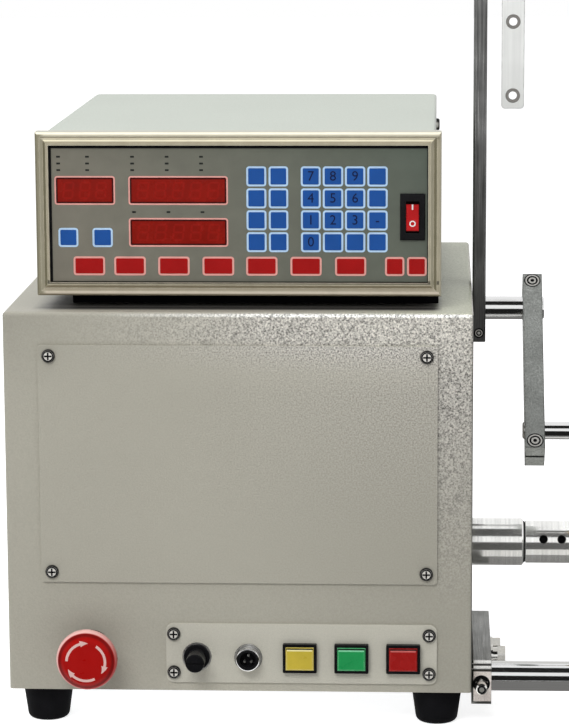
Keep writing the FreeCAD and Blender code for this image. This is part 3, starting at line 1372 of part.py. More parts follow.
def rod_bracket():
    """Bracket bar on the cabinet's side that holds the guide rod."""
    bar = block("bracket_bar", ("bracket_width", "bracket_depth", "bracket_height"),
                (RIGHT, f"{FRONT}+bracket_front", f"{BASE}-bracket_drop"),
                [("bracket_chamfer", ("front bottom", "back bottom"), "Chamfer"),
                 ("bracket_edge", ("front left", "left top"), "Chamfer")])
    eye = rod("bracket_eye", "guide_rod_radius+press_gap", "bracket_width",
              (RIGHT, GUIDE_DEPTH, GUIDE_HEIGHT))
    hole = rod("bracket_screw_hole", "bracket_screw_radius+seat_gap", "guide_rod_back-bracket_front",
               (f"{RIGHT}+bracket_width/2", f"{FRONT}+bracket_front", GUIDE_HEIGHT), "y")
    bolts = [rod(f"bracket_bolt_hole_{number}", "bolt_radius+seat_gap", "bracket_width",
                 (RIGHT, depth, BOLT_HEIGHT)) for number, (depth, _) in enumerate(BOLTS)]
    slots = [box(f"bracket_slot_{number}", ("bracket_width", "bracket_slot_depth", "bracket_slot_height"),
                 (RIGHT, f"{FRONT}+bracket_front", f"{BASE}-bracket_drop+bracket_height-{drop}"))
             for number, drop in enumerate(("bracket_line_drop", "bracket_slot_drop"))]
    return cut("rod_bracket", bar, eye, hole, *bolts, *slots)


def bracket_bolts():
    """Clamp screw and lock nut on the bracket's front, and two hex bolts through the cabinet's side."""
    middle, front = f"{RIGHT}+bracket_width/2", f"{FRONT}+bracket_front"
    screw = cap_screw("bracket_screw", "bracket",
                      "(guide_rod_back-bracket_front-guide_rod_radius-seat_gap)",
                      (middle, f"{front}-bracket_screw_head_depth", GUIDE_HEIGHT))
    lock_nut = hexagon("bracket_nut", "bracket_nut_corners", "bracket_nut_height",
                       (middle, f"{front}-bracket_nut_height", GUIDE_HEIGHT), "y")
    bolts = [fuse("bracket_clamp", screw, lock_nut)]
    for number, (depth, spacer) in enumerate(BOLTS):
        face = f"({RIGHT}+bracket_width)"
        seat = f"({face}+washer_thickness+{spacer})"
        washer = rod(f"washer_{number}", "washer_radius", "washer_thickness", (face, depth, BOLT_HEIGHT))
        head = hexagon(f"bolt_head_{number}", "bolt_across_corners", "bolt_head_height",
                       (seat, depth, BOLT_HEIGHT))
        shank_start = f"({INNER_RIGHT}-bolt_tail)"
        shank = rod(f"bolt_shank_{number}", "bolt_radius", f"{seat}-{shank_start}",
                    (shank_start, depth, BOLT_HEIGHT))
        nut = hexagon(f"bolt_nut_{number}", "bolt_across_corners", "bolt_tail",
                      (shank_start, depth, BOLT_HEIGHT))
        pieces = [washer, head, shank, nut]
        if spacer != "0":
            pieces.append(rod(f"bolt_spacer_{number}", "spacer_radius", spacer,
                              (f"{face}+washer_thickness", depth, BOLT_HEIGHT)))
        bolts.append(fuse(f"bolt_{number}", *pieces))
    return group("bracket_bolts", bolts)


def guide_rod():
    """Plated rod that carries the tailstock."""
    return round_bar("guide_rod", "guide_rod_radius", (RIGHT, GUIDE_DEPTH, GUIDE_HEIGHT),
                     "guide_rod_reach")


def tailstock_arm():
    """Casting with a boss on the guide rod, a web and a boss on the spindle's axis."""
    low, high = (GUIDE_DEPTH, GUIDE_HEIGHT), (SPINDLE_DEPTH, SPINDLE_HEIGHT)
    bosses = [rod(f"tailstock_boss_{number}", "tailstock_boss_radius", "tailstock_width",
                  (TAIL_LEFT, *centre))
              for number, centre in enumerate((low, high))]
    web = link("tailstock_web", low, high, "(tailstock_web_height/2)", "tailstock_web_width",
               f"{TAIL_LEFT}+(tailstock_width-tailstock_web_width)/2")
    eyes = [rod("tailstock_rod_eye", "guide_rod_radius+running_gap", "tailstock_width", (TAIL_LEFT, *low)),
            rod("tailstock_quill_eye", "quill_radius+running_gap", "tailstock_width", (TAIL_LEFT, *high))]
    return cut("tailstock_arm", fuse("tailstock_blank", *bosses, web), *eyes)


def tailstock_quill():
    """Sliding quill with its hand knob, bored for the live centre."""
    body = "(quill_nose+tailstock_width+quill_travel+free_gap)"
    end = f"({body}+knob_length)"
    profile = (("0", "0"), ("0", "quill_radius"), (body, "quill_radius"), (body, "knob_radius"),
               (end, "knob_radius"), (end, "0"))
    start = (f"{TAIL_LEFT}-quill_nose", SPINDLE_DEPTH, SPINDLE_HEIGHT)
    blank = turned("quill_blank", profile, start, "x", [("knob_round", [3, 4], "Fillet")])
    return cut("tailstock_quill", blank,
               rod("quill_socket", "quill_socket_radius+running_gap", "quill_socket_depth", start))


def live_centre():
    """Pointed centre that turns in the quill."""
    point, neck = "centre_point_length", "(centre_point_length+centre_neck)"
    end = f"({neck}+centre_stem_length)"
    profile = (("0", "0"), (point, "centre_radius"), (neck, "centre_radius"), (neck, "quill_socket_radius"),
               (end, "quill_socket_radius"), (end, "0"))
    return turned("live_centre", profile,
                  (f"{TAIL_LEFT}-quill_nose-free_gap-{neck}", SPINDLE_DEPTH, SPINDLE_HEIGHT))


def box_feet():
    """Four round feet between the control box and the cabinet."""
    feet = []
    for side, across in (("left", f"({CASE_LEFT}+box_foot_inset)"),
                         ("right", f"({CASE_LEFT}+{CASE_WIDTH}-box_foot_inset)")):
        for end, depth in (("front", f"({CASE_FRONT}+box_foot_inset)"),
                           ("back", f"({BOX_FRONT}+box_depth-box_foot_inset)")):
            feet.append(rod(f"box_foot_{side}_{end}", "box_foot_radius", "box_lift+case_floor",
                            (across, depth, TOP), "z"))
    return group("box_feet", feet)


def control_tray():
    """Floor of the control box."""
    return block("control_tray", (f"({CASE_WIDTH}-2*case_sheet)", "(box_depth-bezel_depth-case_sheet)",
                                  "tray_thickness"),
                 (f"{CASE_LEFT}+case_sheet", CASE_FRONT, CASE_BASE),
                 [("case_round-case_sheet", ("back left", "back right"))])


def control_cover():
    """Painted cover: top, sides and rounded back, open in front and below."""
    outer = block("cover_outer", (CASE_WIDTH, "box_depth-bezel_depth", CASE_HEIGHT),
                  (CASE_LEFT, CASE_FRONT, CASE_BASE),
                  [("case_round", ("back left", "back right")),
                   ("case_top_round", ("left top", "right top"))])
    inner = block("cover_inner", (f"({CASE_WIDTH}-2*case_sheet)", "(box_depth-bezel_depth-case_sheet)",
                                  f"({CASE_HEIGHT}-case_sheet)"),
                  (f"{CASE_LEFT}+case_sheet", CASE_FRONT, CASE_BASE),
                  [("case_round-case_sheet", ("back left", "back right"))])
    tools = []
    for number, (depth, up) in enumerate(CASE_SCREWS):
        tools.append(rod(f"case_hole_{number}", SCREW_HOLE, f"{CASE_WIDTH}+2*case_sheet",
                         (f"{CASE_LEFT}-case_sheet", depth, up)))
    return cut("control_cover", outer, inner, *tools)


def control_bezel():
    """Moulded front frame with a sloping groove all round, a recess for the panel and a lip behind it."""
    at = (BOX_LEFT, BOX_FRONT, BOX_BASE)
    frame = block("bezel_blank", (BOX_WIDTH, "bezel_depth", "box_height"), at,
                  [("bezel_round", ("front left", "front right", "front top", "front bottom"))])

    def opening(label, inset, depth, start):
        return box(label, (f"{BOX_WIDTH}-2*{inset}", depth, f"box_height-2*{inset}"),
                   shift(at, inset, start, inset))

    def sloped(label, inset, depth, start, face):
        return block(label, (f"{BOX_WIDTH}-2*{inset}", depth, f"box_height-2*{inset}"),
                     shift(at, inset, start, inset),
                     [("bezel_groove_depth",
                       [f"{face} {side}" for side in ("left", "right", "top", "bottom")], "Chamfer")])

    recess = opening("bezel_window", "bezel_border", "bezel_recess+panel_thickness", "0")
    through = opening("bezel_through", "(bezel_border+bezel_lip)", "bezel_depth", "0")
    inset, reach = "bezel_groove_inset", "2*bezel_groove_depth"
    groove = cut("bezel_groove",
                 sloped("groove_outside", inset, reach, "(0-bezel_groove_depth)", "back"),
                 sloped("groove_inside", f"({inset}+bezel_groove_depth+bezel_groove_floor)", reach, "0",
                        "front"))
    return cut("control_bezel", frame, recess, through, groove)


def keypad_panel():
    """Keypad panel with its windows, the switch's cut-out and four studs for the board."""
    width = f"({BOX_WIDTH}-2*bezel_border-2*seat_gap)"
    height = "(box_height-2*bezel_border-2*seat_gap)"
    corner = (f"({BOX_LEFT}+bezel_border+seat_gap)", PANEL_FACE, f"({BOX_BASE}+bezel_border+seat_gap)")
    plate = box("keypad_blank", (width, "panel_thickness", height), corner)
    studs = [
        rod(f"keypad_stud_{side}_{end}", "stud_radius", f"{BOARD_FRONT}-{PANEL_BACK}+panel_thickness/2",
            (f"{corner[0]}+{across}", f"{PANEL_BACK}-panel_thickness/2", f"{corner[2]}+{up}"), "y")
        for side, across in (("left", "stud_inset"), ("right", f"({width}-stud_right_inset)"))
        for end, up in (("low", "stud_inset"), ("high", f"({height}-stud_inset)"))
    ]
    holes = [
        box(f"window_{name}", (f"{across}+2*lens_gap", "3*panel_thickness", "window_height+2*lens_gap"),
            (f"{BOX_LEFT}+{side}-lens_gap", f"{PANEL_FACE}-panel_thickness", f"{BOX_BASE}+{lift}-lens_gap"))
        for name, side, across, lift in WINDOWS
    ]
    holes.append(box(
        "rocker_hole",
        ("rocker_body_width+2*seat_gap", "3*panel_thickness", "rocker_body_height+2*seat_gap"),
        (f"{ROCKER_PLACE}-rocker_body_width/2-seat_gap", f"{PANEL_FACE}-panel_thickness",
         f"{ROCKER_HEIGHT}-rocker_body_height/2-seat_gap"),
    ))
    return cut("keypad_panel", fuse("keypad_solid", plate, *studs), *holes)


def display_lenses():
    """Three dark red windows set in the panel."""
    return group("display_lenses", [
        box(f"lens_{name}", (across, "lens_thickness", "window_height"),
            (f"{BOX_LEFT}+{side}", PANEL_FACE, f"{BOX_BASE}+{lift}"))
        for name, side, across, lift in WINDOWS
    ])


def digit_modules():
    """Three digit modules on the board, behind the windows."""
    return group("digit_modules", [
        box(f"module_{name}", (f"{across}-2*module_margin", "module_depth", "window_height-2*module_margin"),
            (f"{BOX_LEFT}+{side}+module_margin", f"{BOARD_FRONT}-module_depth",
             f"{BOX_BASE}+{lift}+module_margin"))
        for name, side, across, lift in WINDOWS
    ])


def control_board():
    """Circuit board of the control box, stopping short of the switch."""
    edge = "(bezel_border+bezel_lip+board_margin)"
    left = f"({BOX_LEFT}+{edge})"
    return box("control_board",
               (f"{ROCKER_PLACE}-rocker_frame_width-{left}", "board_thickness", f"box_height-2*{edge}"),
               (left, BOARD_FRONT, f"{BOX_BASE}+{edge}"))


def rocker_pin(label, clearance):
    """Pivot pin of the power switch's rocker, or its hole with a clearance."""
    half = f"(rocker_width/2+rocker_pin_reach+{clearance})"
    return rod(label, f"rocker_pin_radius+{clearance}", f"2*{half}",
               (f"{ROCKER_PLACE}-{half}", ROCKER_PIVOT, ROCKER_HEIGHT))


def rocker_housing():
    """Frame and body of the power switch, with the rocker's pocket and pin holes."""
    across, up = ROCKER_PLACE, ROCKER_HEIGHT
    frame = block("rocker_frame", ("rocker_frame_width", "rocker_frame_depth", "rocker_frame_height"),
                  (f"{across}-rocker_frame_width/2", ROCKER_DEPTH, f"{up}-rocker_frame_height/2"),
                  [("rocker_frame_depth/2", ("front left", "front right", "front top", "front bottom"))])
    body = box("rocker_body", ("rocker_body_width", "rocker_body_depth", "rocker_body_height"),
               (f"{across}-rocker_body_width/2", PANEL_FACE, f"{up}-rocker_body_height/2"))
    pocket = box("rocker_pocket", ("rocker_width+2*free_gap", "rocker_pocket_depth", "2*rocker_pocket_half"),
                 (f"{across}-rocker_width/2-free_gap", ROCKER_DEPTH, f"{up}-rocker_pocket_half"))
    return cut("rocker_housing", fuse("rocker_solid", frame, body), pocket,
               rocker_pin("rocker_pin_hole", "running_gap"))


def power_rocker():
    """Two-sided rocker on its pin, resting with its lower half pressed."""
    up = ROCKER_HEIGHT
    corners = (
        (f"{ROCKER_DEPTH}-rocker_peak", f"{up}+rocker_half"),
        (f"{ROCKER_DEPTH}-rocker_valley", up),
        (f"{ROCKER_DEPTH}-rocker_low", f"{up}-rocker_half"),
        (f"{ROCKER_DEPTH}+rocker_root", f"{up}-rocker_root_half"),
        (f"{ROCKER_DEPTH}+rocker_root", f"{up}+rocker_root_half"),
    )
    body = add("PartDesign::Body", "rocker_key")
    pad = body.newObject("PartDesign::Pad", "rocker_key_pad")
    pad.Profile = polygon(body, "rocker_key", corners, "YZ_Plane")
    bind(pad, "Length", "rocker_width")
    doc.recompute()
    place(body, (f"{ROCKER_PLACE}-rocker_width/2", "0", "0"))
    return fuse("power_rocker", body, rocker_pin("rocker_pin", "0"))


def build():
    """Every sub-part of the machine."""
    makers = (
        cabinet_shell, base_plate, back_panel, rubber_feet, side_plug, access_cover, button_plate,
        panel_screws, fuse_holder, fuse_cap, foot_switch_socket, button_housings, estop_housing, estop_stem,
        estop_head, power_inlet, spindle_housing, spindle_bearings, spindle_shaft, brake_coil, brake_disc,
        drive_motor, motor_pulley, drive_belt, mains_transformer, traverse_bench, rod_bush, stepper_motor,
        lead_screw, traverse_carriage, traverse_rod, guide_post, post_screw, upper_rod, eyelet_plate,
        eyelets, drop_arm, arm_screws, nozzle_rod, wire_nozzle, rod_bracket, bracket_bolts, guide_rod,
        tailstock_arm, tailstock_quill, live_centre, box_feet, control_tray, control_cover, control_bezel,
        keypad_panel, display_lenses, digit_modules, control_board, rocker_housing, power_rocker,
    )
    for maker in makers:
        node(maker.__name__, maker())
    node("spindle_pulley", pulley("spindle_pulley", "spindle_pulley_radius",
                                  (PULLEY_LEFT, SPINDLE_DEPTH, SPINDLE_HEIGHT), "spindle_radius+press_gap"))
    for name, across in zip(("reset", "start", "stop"), BUTTON_PLACES):
        node(f"{name}_button_cap", button_cap(f"{name}_button_cap", across))


build()
doc.recompute()
faults = [item.Label for item in doc.Objects if {"Invalid", "Error"} & set(item.State)]
if faults:
    raise RuntimeError(f"features that failed: {faults}")
os.makedirs("parts", exist_ok=True)
for item in nodes:
    if item.Shape.isNull() or not item.Shape.isValid():
        raise RuntimeError(f"{item.Label} has no valid shape")
    item.Shape.exportStep(f"parts/{item.Label}.step")
print(f"{len(nodes)} sub-parts")
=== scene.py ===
# %% [markdown]
# A bench machine that winds wire coils: a painted cabinet with a control box on top, and a spindle, a
# traverse rod and a tailstock rod out of its right side. The solid model gives every shape that moves or
# carries load. This lesson dresses it: finishes for each metal, paint and plastic, and the fine printed
# and moulded detail that a solid model leaves out. Loading the frame first fixes where all of it is.

# %% Load the frame
import json
import math

import bmesh
import bpy
from mathutils import Matrix, Vector
from mathutils.bvhtree import BVHTree

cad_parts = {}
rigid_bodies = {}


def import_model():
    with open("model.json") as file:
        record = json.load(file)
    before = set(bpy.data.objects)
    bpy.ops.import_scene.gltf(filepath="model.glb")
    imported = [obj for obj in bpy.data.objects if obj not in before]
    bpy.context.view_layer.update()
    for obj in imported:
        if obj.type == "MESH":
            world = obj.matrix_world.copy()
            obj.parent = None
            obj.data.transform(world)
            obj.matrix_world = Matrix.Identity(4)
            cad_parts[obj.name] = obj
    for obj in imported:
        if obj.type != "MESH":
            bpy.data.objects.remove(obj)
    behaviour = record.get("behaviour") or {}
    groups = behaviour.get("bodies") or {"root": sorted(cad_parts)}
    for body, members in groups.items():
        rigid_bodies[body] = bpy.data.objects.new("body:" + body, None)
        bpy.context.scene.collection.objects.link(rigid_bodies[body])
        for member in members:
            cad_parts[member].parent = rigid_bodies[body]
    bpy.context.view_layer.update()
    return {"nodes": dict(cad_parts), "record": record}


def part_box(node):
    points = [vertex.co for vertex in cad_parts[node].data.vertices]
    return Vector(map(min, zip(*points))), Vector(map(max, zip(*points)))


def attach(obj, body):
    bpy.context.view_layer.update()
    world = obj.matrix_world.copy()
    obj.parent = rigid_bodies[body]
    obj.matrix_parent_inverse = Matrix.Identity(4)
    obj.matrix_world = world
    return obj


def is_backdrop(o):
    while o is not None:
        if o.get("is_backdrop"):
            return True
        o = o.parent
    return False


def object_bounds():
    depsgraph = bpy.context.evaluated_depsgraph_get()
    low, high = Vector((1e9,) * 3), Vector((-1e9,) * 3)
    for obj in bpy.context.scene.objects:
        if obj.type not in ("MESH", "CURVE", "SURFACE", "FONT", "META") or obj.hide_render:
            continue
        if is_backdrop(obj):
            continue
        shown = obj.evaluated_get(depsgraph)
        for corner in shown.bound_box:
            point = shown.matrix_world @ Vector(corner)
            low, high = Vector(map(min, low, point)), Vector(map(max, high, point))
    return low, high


for old in list(bpy.data.objects):
    bpy.data.objects.remove(old)
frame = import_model()
MM = 0.001


def box_of(node):
    """The low and the high corner of a solid, in millimetres."""
    return [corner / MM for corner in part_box(node)]


def middle_of(node):
    """The middle of a solid seen from the front: x, z, and the y of its front."""
    low, high = box_of(node)
    return (low.x + high.x) / 2, (low.z + high.z) / 2, low.y


# %% [markdown]
# The camera comes first, so that each later look at the picture has the same framing. It stands almost
# two metres away with a long lens, because the machine's edges hardly converge. A wide lens close by
# would also frame it, but it would make the control box loom over the cabinet.

# %% Camera
camera_data = bpy.data.cameras.new("camera")
camera_data.sensor_width = 36.0
camera_data.lens = 149.12
camera_data.clip_start = 0.05
camera_data.clip_end = 30.0
camera = bpy.data.objects.new("camera", camera_data)
camera.location = Vector((-17.25, -2074.5, 577.0)) * MM
YAW, PITCH, ROLL = (math.radians(angle) for angle in (3.03, 90.0 - 9.81, -0.29))
turn = Matrix.Rotation(YAW, 3, "Z") @ Matrix.Rotation(PITCH, 3, "X") @ Matrix.Rotation(ROLL, 3, "Z")
camera.rotation_euler = turn.to_euler()
bpy.context.scene.collection.objects.link(camera)
bpy.context.scene.camera = camera
print("camera at", tuple(round(c, 3) for c in camera.location))

# %% [markdown]
# A small set of node helpers keeps the finishes readable. A value may be a plain number or colour, or
# the output of another node, and feed() does the right thing with either. One could wire every node by
# hand, but the same four lines would then come back a hundred times.

# %% Node helpers
def feed(socket, value):
    """Give a socket the output of a node, a number, or a colour as its red, green and blue."""
    if isinstance(value, bpy.types.NodeSocket):
        socket.id_data.links.new(value, socket)
    elif socket.type == "RGBA":
        socket.default_value = (*value, 1.0)
    else:
        socket.default_value = value


def node_of(tree, kind, values=None, **settings):
    node = tree.nodes.new("ShaderNode" + kind)
    for name, setting in settings.items():
        setattr(node, name, setting)
    for name, value in (values or {}).items():
        feed(node.inputs[name], value)
    return node


def maths(operation, first, second=0.5, third=0.5):
    values = (first, second, third)
    tree = next(value.id_data for value in values if isinstance(value, bpy.types.NodeSocket))
    node = node_of(tree, "Math", operation=operation)
    for socket, value in zip(node.inputs, values):
        feed(socket, value)
    return node.outputs[0]


def times(first, second):
    return maths("MULTIPLY", first, second)


def plus(first, second):
    return maths("ADD", first, second)


def minus(first, second):
    return maths("SUBTRACT", first, second)


print("node helpers ready")

# %% [markdown]
# Most looks come from masks, which are numbers from 0 to 1 that change over a surface. A Map Range node
# makes a mask from a height or a direction, a Mix node lays a colour where a mask is 1, and noise breaks
# both up. These helpers name those steps.

# %% Masks, mixes and noise
def spread(value, low, high, to_low=0.0, to_high=1.0):
    """A mask that goes from to_low to to_high while the value goes from low to high."""
    node = node_of(value.id_data, "MapRange", {
        "Value": value, "From Min": low, "From Max": high, "To Min": to_low, "To Max": to_high})
    return node.outputs["Result"]


def band(value, start, full, last, end):
    """A mask that rises from start to full and falls from last to end."""
    return times(spread(value, start, full), spread(value, end, last))


def mixed(factor, first, second):
    node = node_of(factor.id_data, "Mix", data_type="RGBA")
    for socket, value in ((0, factor), (6, first), (7, second)):
        feed(node.inputs[socket], value)
    return node.outputs[2]


def laid(tint, layers):
    """Each layer's colour is laid over the tint where its mask is 1, in turn."""
    for mask, colour in layers:
        tint = mixed(mask, tint, colour)
    return tint


def scaled(colour, level):
    node = node_of(colour.id_data, "VectorMath", {"Scale": level}, operation="SCALE")
    feed(node.inputs[0], colour)
    return node.outputs[0]


def place_on_body(tree):
    return node_of(tree, "TexCoord").outputs["Object"]


def noise(tree, size, detail=2.0, stretch=None, rough=0.5):
    """Noise whose lumps are about size metres across, longer along an axis that stretch makes small."""
    where = place_on_body(tree)
    if stretch is not None:
        where = node_of(tree, "Mapping", {"Vector": where, "Scale": stretch}).outputs[0]
    scale = 1.0 / size if isinstance(size, float) else maths("DIVIDE", 1.0, size)
    return node_of(tree, "TexNoise", {
        "Vector": where, "Scale": scale, "Detail": detail, "Roughness": rough}).outputs[0]


def swing(value, strength):
    """A mask made to swing about 0, with the strength as its reach from end to end."""
    return times(minus(value, 0.5), strength)


print("mask helpers ready")

# %% [markdown]
# Powder coat isn't flat: it dries into small lumps, a little over a millimetre across, that catch light
# and dark. A picture of real paint could be wrapped on, but it would repeat and stretch. Noise in three
# dimensions has no seams and keeps its size on every face, so one group makes it for all painted sheet.

# %% Group: hammered paint
GREY = (0.5, 0.5, 0.5, 1.0)
SKIN_OUTPUTS = {"Color": GREY, "Roughness": 0.5, "Height": 0.5}


def start_group(name, inputs, outputs=SKIN_OUTPUTS):
    """A group whose sockets are numbers, vectors or colours, as their first values are."""
    group = bpy.data.node_groups.new(name, "ShaderNodeTree")
    for side, sockets in (("INPUT", inputs), ("OUTPUT", outputs)):
        for label, value in sockets.items():
            kind = {3: "Vector", 4: "Color"}[len(value)] if isinstance(value, tuple) else "Float"
            made = group.interface.new_socket(label, in_out=side, socket_type="NodeSocket" + kind)
            made.default_value = value
    return group, group.nodes.new("NodeGroupInput").outputs, group.nodes.new("NodeGroupOutput").inputs


CLOUD_SIZE, LUMP_DETAIL, LUMP_ROUGH, LUMP_RANGE = 0.09, 2.5, 0.6, (0.32, 0.68)
SHINE_OF_LUMPS = -0.5
hammered, given, made = start_group(
    "hammered_paint", {"Colour": GREY, "Lump size": 0.0012, "Contrast": 0.3, "Cloud": 0.06,
                       "Roughness": 0.45})
lumps = spread(noise(hammered, given["Lump size"], LUMP_DETAIL, rough=LUMP_ROUGH), *LUMP_RANGE)
speck = swing(lumps, given["Contrast"])
cloud = swing(noise(hammered, CLOUD_SIZE), given["Cloud"])
level = plus(plus(speck, cloud), 1.0)
feed(made["Color"], scaled(given["Colour"], level))
feed(made["Roughness"], plus(given["Roughness"], times(speck, SHINE_OF_LUMPS)))
feed(made["Height"], lumps)
print("group", hammered.name)

# %% [markdown]
# Edges tell the eye what a thing is made of: paint thins there, plastic polishes and steel brightens. The
# same mask also lays painted highlights and painted shade along rounded edges. Painting a mask by hand is
# slow. The Bevel node gives the normal that a rounded edge would have, and where it differs from the real
# normal there is an edge, broken up here with noise so it isn't a line.

# %% Group: edge wear and painted edge light
EDGE_TURN, PATCH_SIZE, PATCH_DETAIL, PATCHES = (0.995, 0.86), 0.006, 4.0, (0.3, 0.6, 0.35, 1.0)
wear_and_shade, given, made = start_group("edge_wear_and_shade", {"Width": 0.0006, "Amount": 1.0}, {"Mask": 0.5})
rounded = node_of(wear_and_shade, "Bevel", {"Radius": given["Width"]}, samples=4)
sameness = node_of(wear_and_shade, "VectorMath", operation="DOT_PRODUCT")
feed(sameness.inputs[0], rounded.outputs[0])
feed(sameness.inputs[1], node_of(wear_and_shade, "NewGeometry").outputs["Normal"])
edge = spread(sameness.outputs["Value"], *EDGE_TURN)
patchy = spread(noise(wear_and_shade, PATCH_SIZE, PATCH_DETAIL), *PATCHES)
feed(made["Mask"], times(times(edge, patchy), given["Amount"]))
print("group", wear_and_shade.name)

# %% [markdown]
# Milled, brushed and ground metal all carry fine lines from the tool, long in one direction and short
# across it. Squeezing ordinary noise along an axis draws them: the same group serves an upright post and
# a rod lying down, with the axis given as a stretch.

# %% Group: tool lines
LINE_DETAIL, LINE_RANGE, SMEAR_SIZE = 3.0, (0.3, 0.7), 0.02
LINE_SHARE, SMEAR_SHARE, SHINE_OF_LINES = 0.7, 0.8, -0.4
lined, given, made = start_group(
    "tool_lines", {"Colour": GREY, "Line width": 0.0004, "Stretch": (1.0, 1.0, 0.02),
                   "Contrast": 0.2, "Roughness": 0.3})
lines = spread(noise(lined, given["Line width"], LINE_DETAIL, given["Stretch"]), *LINE_RANGE)
smears = noise(lined, SMEAR_SIZE, LINE_DETAIL)
off = plus(swing(lines, LINE_SHARE), swing(smears, SMEAR_SHARE))
shade = times(off, given["Contrast"])
feed(made["Color"], scaled(given["Colour"], plus(shade, 1.0)))
feed(made["Roughness"], maths("MULTIPLY_ADD", shade, SHINE_OF_LINES, given["Roughness"]))
feed(made["Height"], lines)
print("group", lined.name)

# %% [markdown]
# Moulded plastic and rubber are even in colour, yet never perfectly: a fine mould grain dulls the shine
# and handling leaves faint smears. This group adds both, weakly, to every plastic piece.

# %% Group: moulded skin
HAND_SIZE, HAND_DETAIL, HAND_RANGE, DULLED = 0.012, 4.0, (0.3, 0.7), 0.12
moulded, given, made = start_group(
    "moulded_skin", {"Colour": GREY, "Grain size": 0.0005, "Contrast": 0.1, "Roughness": 0.4})
grain = noise(moulded, given["Grain size"])
smears = spread(noise(moulded, HAND_SIZE, HAND_DETAIL), *HAND_RANGE)
shade = plus(swing(smears, given["Contrast"]), swing(grain, given["Contrast"]))
feed(made["Color"], scaled(given["Colour"], plus(shade, 1.0)))
feed(made["Roughness"], maths("MULTIPLY_ADD", smears, DULLED, given["Roughness"]))
feed(made["Height"], grain)
print("group", moulded.name)

# %% [markdown]
# One function turns a group into a finished material: it places the group, brightens the worn edges,
# and sends the height to a Bump node. The shader itself stays in the material, with its plain numbers
# on its own sockets, so that another program can read them. Bumps are in thousandths of a millimetre, and
# lumps, lines, grain and edges in millimetres.

# %% Finish maker
FINISH = {}
MICRON = 0.000001


def blank_material(name):
    material = bpy.data.materials.new(name)
    material.use_nodes = True
    return material, material.node_tree, material.node_tree.nodes["Principled BSDF"].inputs


def finish_of(name, group, values, bump, edge=None, edge_width=0.5, edge_amount=0.6,
              metallic=0.0, specular=0.3, coat=0.0):
    material, tree, shader = blank_material(name)
    skin = node_of(tree, "Group", node_tree=group, name="skin")
    for label, value in values.items():
        feed(skin.inputs[label], value)
    colour = skin.outputs["Color"]
    if edge is not None:
        mask = node_of(tree, "Group", node_tree=wear_and_shade)
        for label, value in (("Width", edge_width * MM), ("Amount", edge_amount)):
            feed(mask.inputs[label], value)
        colour = mixed(mask.outputs["Mask"], colour, edge)
    relief = node_of(tree, "Bump", {"Height": skin.outputs["Height"], "Distance": bump * MICRON})
    for label, value in (("Base Color", colour), ("Roughness", skin.outputs["Roughness"]),
                         ("Normal", relief.outputs["Normal"]), ("Metallic", metallic),
                         ("Specular IOR Level", specular), ("Coat Weight", coat)):
        feed(shader[label], value)
    FINISH[name] = material


def paint(name, colour, lump, contrast, roughness, bump, *edge):
    finish_of(name, hammered, {"Colour": colour, "Lump size": lump * MM, "Contrast": contrast,
                               "Roughness": roughness}, bump, *edge)


def metal(name, colour, stretch, line, contrast, roughness, bump, *edge, metallic=1.0):
    finish_of(name, lined, {"Colour": colour, "Stretch": stretch, "Line width": line * MM,
                            "Contrast": contrast, "Roughness": roughness}, bump, *edge, metallic=metallic)


def plastic(name, colour, grain, contrast, roughness, bump, specular, *edge, coat=0.0):
    finish_of(name, moulded, {"Colour": colour, "Grain size": grain * MM, "Contrast": contrast,
                              "Roughness": roughness}, bump, *edge, specular=specular, coat=coat)


UP_AND_DOWN, ALONG_ROD, AROUND_ROD = (1, 1, 0.02), (0.02, 1, 1), (1, 0.02, 0.02)
ACROSS, EVEN = (1, 0.02, 1), (1, 1, 1)
print("finish maker ready")

# %% [markdown]
# Painted sheet: the cabinet and its cover carry the hammered coat, the button plate a smoother satin
# coat and the control box a paler grey-green. The base sheet and tray are bare zinc plate. The last three
# values of a paint are its edge: colour, width and amount. The paler edge colour is a painted highlight.

# %% Paints
COAT = (0.40, 0.385, 0.325)
paint("painted_sheet", COAT, 1.08, 0.3, 0.42, 60, (0.54, 0.53, 0.47), 1.0, 0.3)
paint("cover_paint", (0.465, 0.503, 0.445), 1.0, 0.12, 0.4, 40, (0.70, 0.72, 0.68), 1.2)
paint("plate_paint", (0.51, 0.495, 0.425), 0.8, 0.10, 0.38, 20, (0.62, 0.60, 0.54), 0.8)
metal("zinc_sheet", (0.45, 0.46, 0.47), EVEN, 8.0, 0.35, 0.4, 30)
print("paints", len(FINISH))

# %% [markdown]
# The lumps catch the light most at the upper right, so their light and dark is painted strong there, as
# painted glints with a paler tone, and almost smooth low down and on the left. A second noise could hide
# where it changes, but the change is a slow one, so masks made from the place on the body, in
# millimetres, set how strong the lumps are.

# %% Painted glints: strong and weak lumps of the coat
def axes_of(vector):
    return node_of(vector.id_data, "SeparateXYZ", {"Vector": vector}).outputs


def place_of(tree):
    """The place of a point on its body, in millimetres."""
    return axes_of(scaled(place_on_body(tree), 1 / MM))


def facing(tree):
    """The direction that a face looks in."""
    return axes_of(node_of(tree, "NewGeometry").outputs["Normal"])


def recolour(tree, colour):
    feed(tree.nodes["skin"].inputs["Colour"], colour)


